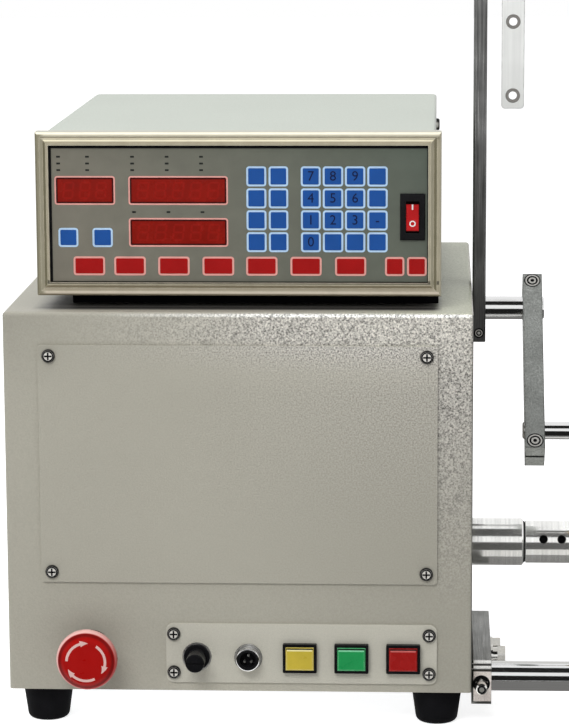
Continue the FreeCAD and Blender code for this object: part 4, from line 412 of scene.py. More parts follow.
tree = FINISH["painted_sheet"].node_tree
place, looks = place_of(tree), facing(tree)
DOOR_EDGE, DOOR_BLUR, DOOR_SHARE = box_of("access_cover")[1].x, 0.2, 0.45
RISE_ON_DOOR, RISE_BESIDE_DOOR = (125, 225), (80, 222)
SMOOTH, PAINTED_GLINT_CONTRAST, LEFT_CURVE = 0.10, 1.40, 1.3
beside_door = spread(place["X"], DOOR_EDGE - DOOR_BLUR, DOOR_EDGE + DOOR_BLUR)
on_door = times(spread(place["Z"], *RISE_ON_DOOR), DOOR_SHARE)
off_door = spread(place["Z"], *RISE_BESIDE_DOOR)
fading = maths("MULTIPLY_ADD", beside_door, minus(off_door, on_door), on_door)
rightward = times(spread(place["X"], -190, -40), fading)
upward = times(maths("POWER", spread(place["X"], -266, -109), LEFT_CURVE),
               spread(place["Z"], 238, 262))
upright = spread(looks["Z"], 0.9, 0.5, 0.15, 1.0)
# painted glints: this mask is 1 where the lumps' light and dark is painted strongest
painted_glint_mask = times(upright, maths("MINIMUM", plus(rightward, upward), 1.0))
feed(tree.nodes["skin"].inputs["Contrast"], maths("MULTIPLY_ADD", painted_glint_mask, PAINTED_GLINT_CONTRAST, SMOOTH))
print("coat's lumps graded from", SMOOTH, "to", SMOOTH + PAINTED_GLINT_CONTRAST)

# %% [markdown]
# The same masks paint light and shade into the coat: a painted highlight near its top edge, painted light
# on the low strip under the button plate, where its shadow falls, painted shade low at the right, and a
# paler painted light on the right of its roof. Light could do this too, but then it would stay behind
# when the machine turns.

# %% Painted light and shade on the coat
HIGHLIGHT_SLOPE, HIGHLIGHT_START = 0.44, -0.14
GLINT_AREA_TONE, ROOF_LIT_TONE = (0.402, 0.387, 0.352), (0.46, 0.468, 0.375)
painted_top_highlight = times(times(spread(place["Z"], 225, 272), upright),
             maths("MULTIPLY_ADD", spread(place["X"], -300, -60), HIGHLIGHT_SLOPE, HIGHLIGHT_START))
painted_light_low = times(spread(place["Z"], 33.5, 32.5, 0.0, 0.17), band(place["X"], -205, -180, -40, -15))
painted_shade_right = times(spread(place["X"], -170, 0, 0.0, 0.13), spread(place["Z"], 235, 150))
level = minus(plus(plus(painted_top_highlight, painted_light_low), 1.0), painted_shade_right)
painted_roof_light = times(spread(looks["Z"], 0.5, 0.9), spread(place["X"], -120, -10))
tone = laid(COAT, ((painted_glint_mask, GLINT_AREA_TONE), (painted_roof_light, ROOF_LIT_TONE)))
coat = scaled(tone, level)
print("coat's light and dark areas made")

# %% [markdown]
# More masks paint light and shade: a painted shadow in front of the control box and a darker painted shade
# in the gap under it, a painted highlight along the brim, and painted shade down the front's right edge.

# %% Painted shadow, shade and highlight on the coat
under_box = times(band(place["X"], -285, -268, -22.5, -16), spread(place["Z"], 277.0, 277.9))
painted_box_shadow = times(under_box, band(place["Y"], -152, -148, -100, -60))
painted_gap_shade = times(under_box, band(place["Y"], -147.5, -144.5, -140.0, -136.5))
painted_brim_highlight = times(band(place["Z"], 274.8, 275.6, 276.8, 277.4),
               times(spread(place["X"], -240, -90), spread(looks["Y"], -0.5, -0.9)))
painted_right_edge_shade = times(spread(place["X"], 2.9, 3.5), spread(place["Y"], -156.5, -159.5))
recolour(tree, laid(coat, (
    (painted_box_shadow, (0.12, 0.115, 0.105)), (painted_gap_shade, (0.045, 0.043, 0.040)),
    (painted_brim_highlight, (0.92, 0.92, 0.88)), (painted_right_edge_shade, (0.10, 0.10, 0.09)))))
print("coat aged")

# %% [markdown]
# Metals: chromed rods are nearly mirrors, so their look is the room's bands of light and dark. Ground,
# milled and turned parts are the same kind of shader with lines in them and a higher roughness. Each row
# gives the colour, the way of the lines, their width, the contrast, the roughness and the bump, and then
# the edge's colour, width and amount: a darker edge is painted shade, a brighter one wear and painted
# highlight.

# %% Metals
for row in (
        ("chrome", (0.80, 0.80, 0.80), ALONG_ROD, 0.6, 0.08, 0.09, 2),
        ("screw_steel", (0.72, 0.71, 0.68), EVEN, 2.0, 0.2, 0.12, 5, (0.9, 0.9, 0.88), 0.3),
        ("ground_steel", (0.42, 0.43, 0.43), ACROSS, 0.4, 0.25, 0.28, 10, (0.65, 0.65, 0.65)),
        ("dark_steel", (0.175, 0.175, 0.172), UP_AND_DOWN, 0.9, 0.9, 0.36, 10, (0.05, 0.05, 0.05), 1.2, 0.8),
        ("alloy", (0.41, 0.425, 0.405), UP_AND_DOWN, 1.0, 0.55, 0.34, 10, (0.05, 0.055, 0.05), 1.6, 1.0),
        ("bright_alloy", (0.93, 0.94, 0.92), UP_AND_DOWN, 1.6, 0.12, 0.38, 10, (0.16, 0.165, 0.16), 1.1, 1.0),
        ("bracket_steel", (0.17, 0.172, 0.16), ACROSS, 0.8, 0.5, 0.32, 10, (0.05, 0.05, 0.045), 1.0, 0.8),
        ("brass", (0.55, 0.40, 0.16), ACROSS, 0.4, 0.25, 0.25, 10, (0.75, 0.6, 0.32)),
        ("core_steel", (0.07, 0.07, 0.075), EVEN, 3.0, 0.4, 0.5, 30, (0.16, 0.16, 0.16))):
    metal(*row)
metal("turned_chrome", (0.93, 0.93, 0.91), AROUND_ROD, 1.6, 0.25, 0.13, 4, metallic=0.83)
metal("pan_steel", (0.5, 0.5, 0.5), EVEN, 2.0, 0.2, 0.3, 5, metallic=0.3)
metal("bright_ring", (0.80, 0.79, 0.75), EVEN, 3.0, 0.1, 0.5, 4)
print("metals and paints", len(FINISH))

# %% [markdown]
# The direction that a face points in tells apart what one finish can't: the bracket's sides are dark mill
# scale and its front end was milled, with a painted warm reflection on it and, at its rounded top, a pale
# painted highlight and two lines of painted shade. The pan heads' flat tops carry a painted highlight and
# their round flanks painted shade.

# %% Milled end and pan heads, with painted highlights and shade
MILL_SCALE, PAINTED_WARM_REFLECTION, PAINTED_END_HIGHLIGHT, PAINTED_END_SHADE = (
    (0.145, 0.147, 0.138), (0.80, 0.73, 0.68), (0.90, 0.89, 0.86), (0.05, 0.045, 0.04))
PAINTED_FLANK_SHADE, PAINTED_TOP_HIGHLIGHT = (0.008, 0.008, 0.008), (0.80, 0.78, 0.73)
tree = FINISH["bracket_steel"].node_tree
looks, place = facing(tree), place_of(tree)
milled = spread(looks["Y"], -0.75, -0.95)
lines = maths("MAXIMUM", band(place["Z"], 36.6, 37.0, 37.9, 38.3),
              band(place["Z"], 40.6, 40.9, 41.5, 41.8))
end_tint = laid(PAINTED_WARM_REFLECTION, ((spread(place["Z"], 36.9, 37.5), PAINTED_END_HIGHLIGHT), (lines, PAINTED_END_SHADE)))
recolour(tree, mixed(milled, MILL_SCALE, end_tint))
feed(tree.nodes["Principled BSDF"].inputs["Metallic"], maths("MULTIPLY_ADD", milled, -0.95, 1.0))
tree = FINISH["pan_steel"].node_tree
on_top = spread(facing(tree)["Y"], -0.82, -0.97)
recolour(tree, mixed(on_top, PAINTED_FLANK_SHADE, PAINTED_TOP_HIGHLIGHT))
print("bracket end and pan heads graded")

# %% [markdown]
# Plastics and rubber: glossy caps and lenses shine more sharply than the frame does. Rubber feet and the
# drive belt have only a coarse dull grain. Each row gives the colour, grain, contrast, roughness, bump and
# shine, and then the edge: a paler edge is wear and painted highlight, and the rocker's and the ceramic's
# dark edge is painted shade. Ceramic has a clear coat over it, as glaze is.

# %% Plastics
for row in (
        ("black_rubber", (0.007, 0.007, 0.008), 0.8, 0.5, 0.6, 80, 0.03, (0.02, 0.02, 0.02)),
        ("belt_rubber", (0.018, 0.018, 0.018), 1.0, 0.5, 0.7, 100, 0.3),
        ("black_plastic", (0.008, 0.008, 0.009), 0.5, 0.35, 0.2, 20, 0.09, (0.04, 0.04, 0.04), 0.4),
        ("bezel_plastic", (0.57, 0.52, 0.37), 0.5, 0.08, 0.36, 10, 0.3, (0.80, 0.76, 0.62), 0.9),
        ("red_lens", (0.22, 0.006, 0.002), 0.5, 0.25, 0.2, 2, 0.12),
        ("dim_red", (0.265, 0.008, 0.004), 0.5, 0.2, 0.2, 30, 0.12),
        ("painted_shade_red", (0.055, 0.003, 0.003), 0.5, 0.3, 0.3, 30, 0.1),
        ("red_plastic", (0.33, 0.008, 0.007), 0.5, 0.15, 0.22, 5, 0.2, (0.62, 0.10, 0.09)),
        ("stop_red", (0.36, 0.006, 0.005), 0.5, 0.12, 0.25, 5, 0.15),
        ("rocker_red", (0.50, 0.012, 0.014), 0.5, 0.15, 0.2, 30, 0.2, (0.10, 0.004, 0.004), 1.4, 0.9),
        ("yellow_plastic", (0.53, 0.41, 0.043), 0.5, 0.14, 0.25, 30, 0.25, (0.88, 0.82, 0.45), 0.9, 0.9),
        ("green_plastic", (0.012, 0.29, 0.078), 0.5, 0.14, 0.25, 30, 0.25, (0.30, 0.66, 0.42), 0.9, 0.9),
        ("circuit", (0.015, 0.10, 0.04), 2.0, 0.4, 0.35, 30, 0.3),
        ("panel_film", (0.2, 0.2, 0.18), 0.5, 0.12, 0.33, 12, 0.2)):
    plastic(*row)
plastic("ceramic", (0.20, 0.19, 0.175), 0.5, 0.25, 0.2, 5, 0.3, (0.015, 0.015, 0.014), 1.0, 1.0, coat=0.5)
print("finishes", len(FINISH))

# %% [markdown]
# The moulded frame has a groove with sloping walls. Its tints are painted light and shade: the height and
# direction of each wall set its tint, so at the top the walls that look up carry a pale painted highlight
# and the rest are olive, walls that look down and sideways and a line low down carry painted shade, and
# along the bottom bar all of them are duller.

# %% Frame tints: painted light and shade
OLIVE, LIT_CREAM, BROWN = (0.23, 0.21, 0.145), (0.95, 0.90, 0.70), (0.36, 0.325, 0.235)
tree = FINISH["bezel_plastic"].node_tree
place, looks = place_of(tree), facing(tree)
up = place["Z"]
low_bar = spread(up, 297.5, 296.8)
# painted shade: the tints of the walls that look down
under = laid((0.15, 0.13, 0.085), (
    (band(up, 387.8, 388.4, 389.4, 390.0), (0.75, 0.70, 0.56)),
    (spread(up, 389.6, 390.2), (0.25, 0.225, 0.15)),
    (low_bar, (0.30, 0.26, 0.18))))
# painted highlight: the tints of the walls that look up
ridge_light = laid(LIT_CREAM, (
    (band(up, 380.0, 385.0, 386.8, 387.6), (0.33, 0.29, 0.20)),
    (low_bar, (0.36, 0.32, 0.24))))
sideways = maths("ABSOLUTE", looks["X"])
flat_top = times(spread(looks["Z"], 0.85, 0.97), spread(up, 390.0, 392.5))
recolour(tree, laid(BROWN, (
    (spread(up, 388.4, 389.0), OLIVE),
    (band(up, 293.8, 294.3, 296.2, 296.8), (0.10, 0.09, 0.065)),
    (spread(up, 289.7, 289.0), (0.61, 0.54, 0.43)),
    (spread(up, 390.0, 391.6), (0.66, 0.62, 0.49)),
    (spread(place["X"], -275, -278), (0.25, 0.23, 0.16)),
    (spread(sideways, 0.25, 0.45), (0.17, 0.155, 0.10)),
    (spread(looks["X"], 0.25, 0.45), (0.42, 0.39, 0.29)),
    (spread(looks["Z"], -0.25, -0.45), under),
    (spread(looks["Z"], 0.25, 0.45), ridge_light),
    (flat_top, (0.47, 0.46, 0.39)))))
print("frame tinted")

# %% [markdown]
# The stop button's head is dished near its rim, and its light and shade are painted on: a dark red ring
# of painted shade lies inside a pale ring of painted highlight, which is palest at the upper left. Both
# rings are masks of the distance from the head's middle.

# %% Stop button rings of painted light and shade
HEAD_X, HEAD_Z, _ = middle_of("estop_head")
PAINTED_GROOVE_SHADE, PAINTED_RIM_HIGHLIGHT, PAINTED_RIM_BRIGHTEST = (0.13, 0.003, 0.003), (0.42, 0.06, 0.055), (0.85, 0.50, 0.46)
tree = FINISH["stop_red"].node_tree
place = place_of(tree)
aside, above = minus(place["X"], HEAD_X), minus(place["Z"], HEAD_Z)
away = maths("SQRT", plus(times(aside, aside), times(above, above)))
groove = times(band(away, 15.8, 17.2, 18.0, 18.6), 0.8)
rim = spread(away, 18.4, 19.0)
upper_left = spread(minus(above, aside), -22, 18)
recolour(tree, laid((0.37, 0.002, 0.001), (
    (spread(away, 2, 14), (0.36, 0.003, 0.002)), (groove, PAINTED_GROOVE_SHADE),
    (rim, mixed(upper_left, PAINTED_RIM_HIGHLIGHT, PAINTED_RIM_BRIGHTEST)))))
print("head rings", round(HEAD_X, 2), round(HEAD_Z, 2))

# %% [markdown]
# The keypad is one printed film of deep grey-green ink. A painted reflection lightens it to a warm grey
# at the lower left, so its colour is mixed by place along the film, and a fine grain makes it satin.

# %% Panel film with a painted reflection
PAINTED_REFLECTION_GREY, DEEP_GREEN, ACROSS_SHARE, RISE_SHARE = (0.193, 0.179, 0.144), (0.074, 0.101, 0.082), 0.90, 0.13
tree = FINISH["panel_film"].node_tree
place = place_of(tree)
across, rising = spread(place["X"], -270, 50), spread(place["Z"], 300, 385)
blend = maths("MULTIPLY_ADD", rising, RISE_SHARE, times(across, ACROSS_SHARE))
recolour(tree, mixed(blend, PAINTED_REFLECTION_GREY, DEEP_GREEN))
print("film ink by place")

# %% [markdown]
# Every solid now takes the finish that its material slot names, or a variant of it where one piece looks
# different from its kin. A solid's mesh and place aren't touched: only its material slots change.

# %% Dress the solids
OWN_FINISH = {"eyelet_plate": "bright_alloy", "estop_head": "stop_red", "power_rocker": "rocker_red",
              "spindle_housing": "turned_chrome", "spindle_shaft": "turned_chrome",
              "panel_screws": "pan_steel"}
SLOT_OF = {row["node"]: row["material_slot"] for row in frame["record"]["subparts"]}
for node, slot in SLOT_OF.items():
    solid = frame["nodes"][node].data
    solid.materials.clear()
    solid.materials.append(FINISH[OWN_FINISH.get(node, slot)])
    for face in solid.polygons:
        face.material_index = 0
print("dressed", len(SLOT_OF), "solids")

# %% [markdown]
# Fine pieces are laid on the solids. A piece is drawn as loops of points in millimetres, joined by walls,
# and then becomes an object that rides on a body of the machine. A modifier on a plain cube could round
# its corners too, but here each point is where the drawing puts it.

# %% Piece maker
SINK = 0.05


def object_of(name, shape, material):
    mesh = bpy.data.meshes.new(name)
    shape.to_mesh(mesh)
    shape.free()
    mesh.materials.append(material)
    made = bpy.data.objects.new(name, mesh)
    bpy.context.scene.collection.objects.link(made)
    return made


def piece_of(name, shape, body, slot, finish=None):
    bmesh.ops.recalc_face_normals(shape, faces=shape.faces)
    piece = object_of(name, shape, FINISH[finish or slot])
    for face in piece.data.polygons:
        face.use_smooth = False
    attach(piece, body)


def walled(shape, first, second):
    for i in range(len(first)):
        j = (i + 1) % len(first)
        shape.faces.new((first[i], first[j], second[j], second[i]))


def capped(shape, loops):
    """A closed shape: walls from loop to loop, and a lid on the last and the first."""
    for first, second in zip(loops, loops[1:]):
        walled(shape, first, second)
    shape.faces.new(loops[-1])
    shape.faces.new(list(reversed(loops[0])))


def ringed(shape, loops):
    """A closed ring: walls from loop to loop and back to the first."""
    for first, second in zip(loops, loops[1:] + loops[:1]):
        walled(shape, first, second)


def ring_of(shape, points, y):
    return [shape.verts.new((x * MM, y * MM, z * MM)) for x, z in points]


print("piece maker ready")

# %% [markdown]
# Keys, rims and marks are boxes with rounded corners, seen from the front: a pad with sloping shoulders, a
# thin line or a flat shape, of print or of painted shade. They sink a hair into what carries them. A
# shape's numbers are its corner radius, then its width or height, and a pad's slope.

# %% Pads, rims and flat shapes
CORNER_STEPS, LEAST_RADIUS = 5, 0.1


def rounded_box(box, radius):
    """Points round a box of (left, right, low, high) with rounded corners."""
    left, right, low, high = box
    points = []
    for x, z, start in ((right - radius, high - radius, 0), (left + radius, high - radius, 90),
                        (left + radius, low + radius, 180), (right - radius, low + radius, 270)):
        for i in range(CORNER_STEPS + 1):
            turn = math.radians(start + 90 * i / CORNER_STEPS)
            points.append((x + radius * math.cos(turn), z + radius * math.sin(turn)))
    return points


def shrunk(box, by):
    left, right, low, high = box
    return left + by, right - by, low + by, high - by


def inside(box, radius, by):
    return rounded_box(shrunk(box, by), max(radius - by, LEAST_RADIUS))


def raised_pad(shape, box, face_y, radius, height, slope):
    """A closed pad that stands height off the face at face_y, with sloping shoulders."""
    outline, top = rounded_box(box, radius), inside(box, radius, slope)
    capped(shape, [ring_of(shape, points, y) for points, y in (
        (outline, face_y + SINK), (outline, face_y - height + slope / 2), (top, face_y - height))])


def thin_rim(shape, box, face_y, radius, width, height):
    """A closed thin line of print or of painted shade round a box, width wide and height thick."""
    outer, inner = rounded_box(box, radius), inside(box, radius, width)
    ringed(shape, [ring_of(shape, points, y) for points, y in (
        (outer, face_y + SINK), (outer, face_y - height), (inner, face_y - height), (inner, face_y + SINK))])


def flat_shape(shape, points, face_y, height):
    """A closed thin shape with the outline points, standing height off the face."""
    capped(shape, [ring_of(shape, points, face_y + SINK), ring_of(shape, points, face_y - height)])


def flat_box(shape, box, face_y, radius, height):
    flat_shape(shape, rounded_box(box, radius), face_y, height)


print("pads, rims and flat shapes ready")

# %% [markdown]
# The keys' places are measured from the cabinet's left side and the bench, then moved into the common
# frame. A grid of rows and columns gives the blue keys, so that one pitch moves them all together.

# %% Key places
LEFT_SIDE, BENCH = -302.25, 25.0
PANEL_FACE = box_of("keypad_panel")[0].y


def spot(left, right, low, high):
    return LEFT_SIDE + left, LEFT_SIDE + right, BENCH + low, BENCH + high


ROW_PITCH, KEY_HEIGHT, LOWEST_KEY = 14.33, 11.2, 290.8
KEY_COLUMNS = ((159.4, 170.5), (173.9, 184.7), (194.8, 205.8), (209.0, 220.4), (223.4, 234.7), (237.9, 249.2))
SETTING_KEYS, SETTING_ROW = ((36.3, 47.4), (58.6, 70.0)), (293.9, 304.6)
RED_KEYS = ((45.9, 64.7), (72.6, 91.4), (101.4, 120.1), (130.4, 149.2), (158.9, 177.5), (187.8, 206.3),
            (216.9, 235.3), (249.4, 260.1), (263.7, 274.6))
RED_ROW = (275.3, 285.9)
blue_boxes = [spot(*column, LOWEST_KEY + row * ROW_PITCH, LOWEST_KEY + row * ROW_PITCH + KEY_HEIGHT)
              for row in range(4) for column in KEY_COLUMNS]
blue_boxes += [spot(*column, *SETTING_ROW) for column in SETTING_KEYS]
red_boxes = [spot(*column, *RED_ROW) for column in RED_KEYS]
print("blue keys", len(blue_boxes), "red keys", len(red_boxes))

# %% [markdown]
# Inks: blue and red keys with sky-blue and pink lines round them, deep blue digits, black marks, white signs
# on the rocker, pale arrows, and a painted highlight colour for each cap. Each is a satin ink with a little
# mottling, like real screen print.

# %% Ink finishes
INKS = {"blue": (0.010, 0.074, 0.30), "sky": (0.43, 0.60, 0.80), "red": (0.34, 0.003, 0.003),
        "pink": (0.72, 0.34, 0.30), "navy": (0.003, 0.008, 0.045), "white": (0.80, 0.80, 0.78),
        "black": (0.012, 0.013, 0.012), "arrow": (0.70, 0.45, 0.42), "reset_gloss": (0.80, 0.74, 0.36),
        "start_gloss": (0.20, 0.58, 0.33), "stop_gloss": (0.58, 0.13, 0.12)}
for name, colour in INKS.items():
    plastic(name + "_ink", colour, 0.5, 0.12, 0.32, 4, 0.2)
print("inks", len(INKS))

# %% [markdown]
# The keys are domed blisters in the film with a printed line round each. Separate solids would make the
# model heavy for a shape a fifth of a millimetre high, so they are thin shells laid on the panel's face.

# %% Keys
KEY_INSET, KEY_SHAPE, RIM_OUT, RIM_SHAPE = 0.25, (1.0, 0.28, 0.35), 0.95, (2.0, 1.25, 0.12)
for colour, boxes, rim_ink in (("blue", blue_boxes, "sky_ink"), ("red", red_boxes, "pink_ink")):
    keys, rims = bmesh.new(), bmesh.new()
    for key in boxes:
        raised_pad(keys, shrunk(key, KEY_INSET), PANEL_FACE, *KEY_SHAPE)
        thin_rim(rims, shrunk(key, -RIM_OUT), PANEL_FACE, *RIM_SHAPE)
    piece_of(colour + "_keys", keys, "cabinet", "panel_film", colour + "_ink")
    piece_of(colour + "_key_rims", rims, "cabinet", "panel_film", rim_ink)
print("key pieces made")

# %% [markdown]
# Number keys carry plain digits and a minus sign. A text object gives a clean digit outline, which is
# turned to mesh so that it exports as a shape and not as a font.

# %% Digits
DIGIT_SIZE, DIGIT_DEPTH, DIGIT_FACE, FIRST_COLUMN = 9.0, 0.10, 0.30, 2
KEY_SIGNS = ("0   ", "123-", "456 ", "789 ")


def digit_mesh(sign):
    curve = bpy.data.curves.new("digit_" + sign, "FONT")
    curve.body = sign
    curve.size = DIGIT_SIZE * MM
    curve.align_x = "CENTER"
    curve.align_y = "CENTER"
    curve.extrude = DIGIT_DEPTH * MM
    curve.resolution_u = 3
    holder = bpy.data.objects.new("digit_holder", curve)
    mesh = bpy.data.meshes.new_from_object(holder)
    bpy.data.objects.remove(holder)
    bpy.data.curves.remove(curve)
    return mesh


digits = bmesh.new()
for row, signs in enumerate(KEY_SIGNS):
    for column, sign in enumerate(signs):
        if sign == " ":
            continue
        left, right, low, high = blue_boxes[row * len(KEY_COLUMNS) + FIRST_COLUMN + column]
        middle = Vector(((left + right) / 2, PANEL_FACE - DIGIT_FACE, (low + high) / 2)) * MM
        before = len(digits.verts)
        mesh = digit_mesh(sign)
        digits.from_mesh(mesh)
        bpy.data.meshes.remove(mesh)
        digits.verts.ensure_lookup_table()
        for vert in digits.verts[before:]:
            x, up, out = vert.co
            vert.co = middle + Vector((x, -out, up))
piece_of("key_digits", digits, "cabinet", "panel_film", "navy_ink")
print("digits made")

# %% [markdown]
# Behind the red windows stand seven-segment digits. Switched off they show only as a fainter red pattern
# in the lens. Each segment is a thin six-sided bar, slanted as the real displays are.

# %% Display digits
SEGMENTS = (((0, 1), "across"), ((0, 0.5), "across"), ((0, 0), "across"),
            ((0, 0.5), "up"), ((1, 0.5), "up"), ((0, 0), "up"), ((1, 0), "up"))
WINDOW_MARGIN, SLANT, SLANT_BACK, SEGMENT_THICK, SEGMENT_INK, GAP_SHARE = 2.5, 0.12, 0.6, 1.25, 0.02, 0.62
TALL_SHARE, WIDE_SHARE = 0.62, 0.56
LENS_FACE = box_of("display_lenses")[0].y
WINDOWS = ((-267.75, -230.65, 346.9, 363.3), (-219.45, -157.05, 346.9, 363.3),
           (-219.45, -157.05, 319.5, 335.9))
DIGITS_IN = (3, 5, 5)


def segment_points(origin, direction, wide, tall):
    start = Vector((origin[0] * wide, origin[1] * tall))
    along = Vector((1, 0)) if direction == "across" else Vector((0, 1))
    length = wide if direction == "across" else tall / 2
    side, tip = Vector((-along.y, along.x)) * SEGMENT_THICK / 2, along * SEGMENT_THICK / 2
    gap = SEGMENT_THICK * GAP_SHARE
    near, far = start + along * gap, start + along * (length - gap)
    return [near - tip, near - side, far - side, far + tip, far + side, near + side]


segments = bmesh.new()
for (left, right, low, high), count in zip(WINDOWS, DIGITS_IN):
    pitch = (right - left - 2 * WINDOW_MARGIN) / count
    tall, wide = (high - low) * TALL_SHARE, pitch * WIDE_SHARE
    start_z = low + (high - low - tall) / 2
    for digit in range(count):
        start_x = left + WINDOW_MARGIN + pitch * digit + (pitch - wide) / 2 - SLANT_BACK
        for origin, direction in SEGMENTS:
            flat_shape(segments, [(start_x + p.x + SLANT * p.y, start_z + p.y)
                                  for p in segment_points(origin, direction, wide, tall)],
                       LENS_FACE, SEGMENT_INK)
piece_of("display_segments", segments, "cabinet", "red_lens", "dim_red")
print("segments made, lens face", round(LENS_FACE, 3))

# %% [markdown]
# A pink line is printed round each window, and a dark red rim of painted shade lies along the lens's
# edge, where the window's edge shades the recessed lens. Both are the same thin rim as round the keys,
# one on the film and one on the lens.

# %% Window lines and painted shade on the lens
OUTLINE_OUT, OUTLINE_SHAPE, BORDER_SHADE_SHAPE = 1.25, (1.9, 1.0, 0.08), (0.8, 0.85, 0.05)
outlines, border_shade = bmesh.new(), bmesh.new()
for window in WINDOWS:
    thin_rim(outlines, shrunk(window, -OUTLINE_OUT), PANEL_FACE, *OUTLINE_SHAPE)
    thin_rim(border_shade, window, LENS_FACE, *BORDER_SHADE_SHAPE)
piece_of("window_outlines", outlines, "cabinet", "panel_film", "pink_ink")
piece_of("window_border_shade", border_shade, "cabinet", "red_lens", "painted_shade_red")
print("window lines made")

# %% [markdown]
# A black seal fills the joint between the film and the moulded frame as a hair line all round. Wider black
# bars along its top and left are painted shadow, where the frame shades the recessed film. A block of the
# same black rubber is painted shade in the gap between the box's front and the cabinet, where the box
# shades the cabinet's top.

# %% Panel seal, painted shadow bars and painted shade under the box
SEAL_SHAPE, SHADOW_BAR_TOP, TOP_SHAPE, SHADOW_BAR_LEFT, LEFT_SHAPE = (0.3, 0.5, 0.5), 1.9, (0.2, 0.6), 1.6, (0.2, 0.55)
UNDERBOX_SHADE_LEFT, UNDERBOX_SHADE_RIGHT, UNDERBOX_SHADE_BACK, UNDERBOX_SHADE_SHAPE, UNDERBOX_SHADE_GAP = 11.5, 7.0, -94.0, (0.5, 25.0, 0.3), 0.02
panel_low, panel_high = box_of("keypad_panel")
film_left, film_right, film_low, film_high = panel_low.x, panel_high.x, panel_low.z, panel_high.z
seal_and_shadow = bmesh.new()
thin_rim(seal_and_shadow, (film_left, film_right, film_low, film_high), PANEL_FACE, *SEAL_SHAPE)
flat_box(seal_and_shadow, (film_left, film_right, film_high - SHADOW_BAR_TOP, film_high), PANEL_FACE, *TOP_SHAPE)
flat_box(seal_and_shadow, (film_left, film_left + SHADOW_BAR_LEFT, film_low, film_high), PANEL_FACE, *LEFT_SHAPE)
piece_of("panel_seal_and_shadow", seal_and_shadow, "cabinet", "black_rubber")
underbox_shade_box = (film_left + UNDERBOX_SHADE_LEFT, film_right + UNDERBOX_SHADE_RIGHT,
            box_of("cabinet_shell")[1].z + UNDERBOX_SHADE_GAP, box_of("control_bezel")[0].z - UNDERBOX_SHADE_GAP)
underbox_shade = bmesh.new()
raised_pad(underbox_shade, underbox_shade_box, UNDERBOX_SHADE_BACK, *UNDERBOX_SHADE_SHAPE)
piece_of("underbox_shade_sheet", underbox_shade, "cabinet", "black_rubber")
print("seal and strip laid")

# %% [markdown]
# Over the windows are rows of small indicator marks. Their captions stay off; the marks are short bars.

# %% Indicator marks
MARK_LEFT, MARK_RIGHT, MARK_HALF, MARK_SHAPE = 1.9, 0.6, 0.6, (0.25, 0.08)
MARK_ROWS = (((352.1, 347.7, 343.4), (36.6, 55.5, 84.9, 107.4, 129.8)), ((316.0,), (85.7, 108.2, 130.4)))
marks = bmesh.new()
for heights, columns in MARK_ROWS:
    for up in heights:
        for left in columns:
            bar = spot(left - MARK_LEFT, left + MARK_RIGHT, up - MARK_HALF, up + MARK_HALF)
            flat_box(marks, bar, PANEL_FACE, *MARK_SHAPE)
piece_of("indicator_marks", marks, "cabinet", "panel_film", "black_ink")
print("marks made")

# %% [markdown]
# Some print lies on a face that slopes or bulges. To find the surface under a point, a ray is sent from
# the front into the solid, and the print is a strip of small steps whose corners are dropped onto it. A
# Shrinkwrap modifier does the same, but it also pulls the print's back side through.

# %% Draped strips
def surface_tree(node):
    mesh = frame["nodes"][node].data
    return BVHTree.FromPolygons([v.co for v in mesh.vertices], [p.vertices for p in mesh.polygons])


def front_of(tree, x, z):
    """The y, in millimetres, where a ray from the front meets the solid at x, z."""
    return tree.ray_cast(Vector((x * MM, -1.0, z * MM)), Vector((0, 1, 0)))[0].y / MM


def draped(shape, rows, tree, height):
    """A strip through rows of (x, z) points, laid on a solid's front and height thick."""
    tops, unders = [], []
    for row in rows:
        faces_y = [front_of(tree, x, z) for x, z in row]
        for side, off in ((tops, -height), (unders, SINK)):
            side.append([shape.verts.new((x * MM, (y + off) * MM, z * MM))
                         for (x, z), y in zip(row, faces_y)])
    last_row, last = len(rows) - 1, len(rows[0]) - 1
    for i in range(last_row):
        for j in range(last):
            shape.faces.new((tops[i][j], tops[i][j + 1], tops[i + 1][j + 1], tops[i + 1][j]))
            shape.faces.new((unders[i][j], unders[i + 1][j], unders[i + 1][j + 1], unders[i][j + 1]))
        for j in (0, last):
            shape.faces.new((tops[i][j], tops[i + 1][j], unders[i + 1][j], unders[i][j]))
    for i in (0, last_row):
        for j in range(last):
            shape.faces.new((tops[i][j], tops[i][j + 1], unders[i][j + 1], unders[i][j]))


print("strips can be draped")

# %% [markdown]
# The power rocker is a red saddle with a plain I above an O. Both marks follow its two sloping faces:
# each point is dropped onto the rocker, so they tilt with it.

# %% Rocker marks
BAR_HALF, BAR_START, BAR_STEPS, SIGN_INK = 0.5, 5.2, (0, 1.2, 2.4, 3.6), 0.08
RING_DOWN, RING_RADII, RING_STEPS, WELD = 4.1, (1.25, 2.05), 28, 0.000001
rocker_tree = surface_tree("power_rocker")
rocker_x, rocker_z, _ = middle_of("power_rocker")
signs = bmesh.new()
draped(signs, [[(rocker_x + dx, rocker_z + BAR_START + dz) for dx in (-BAR_HALF, BAR_HALF)]
               for dz in BAR_STEPS], rocker_tree, SIGN_INK)
for step in range(RING_STEPS):
    turns = [2 * math.pi * (step + k) / RING_STEPS for k in (0, 1)]
    draped(signs, [[(rocker_x + r * math.cos(t), rocker_z - RING_DOWN + r * math.sin(t)) for r in RING_RADII]
                   for t in turns], rocker_tree, SIGN_INK)
bmesh.ops.remove_doubles(signs, verts=signs.verts, dist=WELD)
piece_of("rocker_signs", signs, "rocker", "red_plastic", "white_ink")
print("rocker signs made")

# %% [markdown]
# Three arrows on the stop button show which way to twist it. They follow the dome of the head, so each
# is a strip of short steps round an arc, dropped onto the head, with a wider pointed end. Their places
# are hours on a clock face.

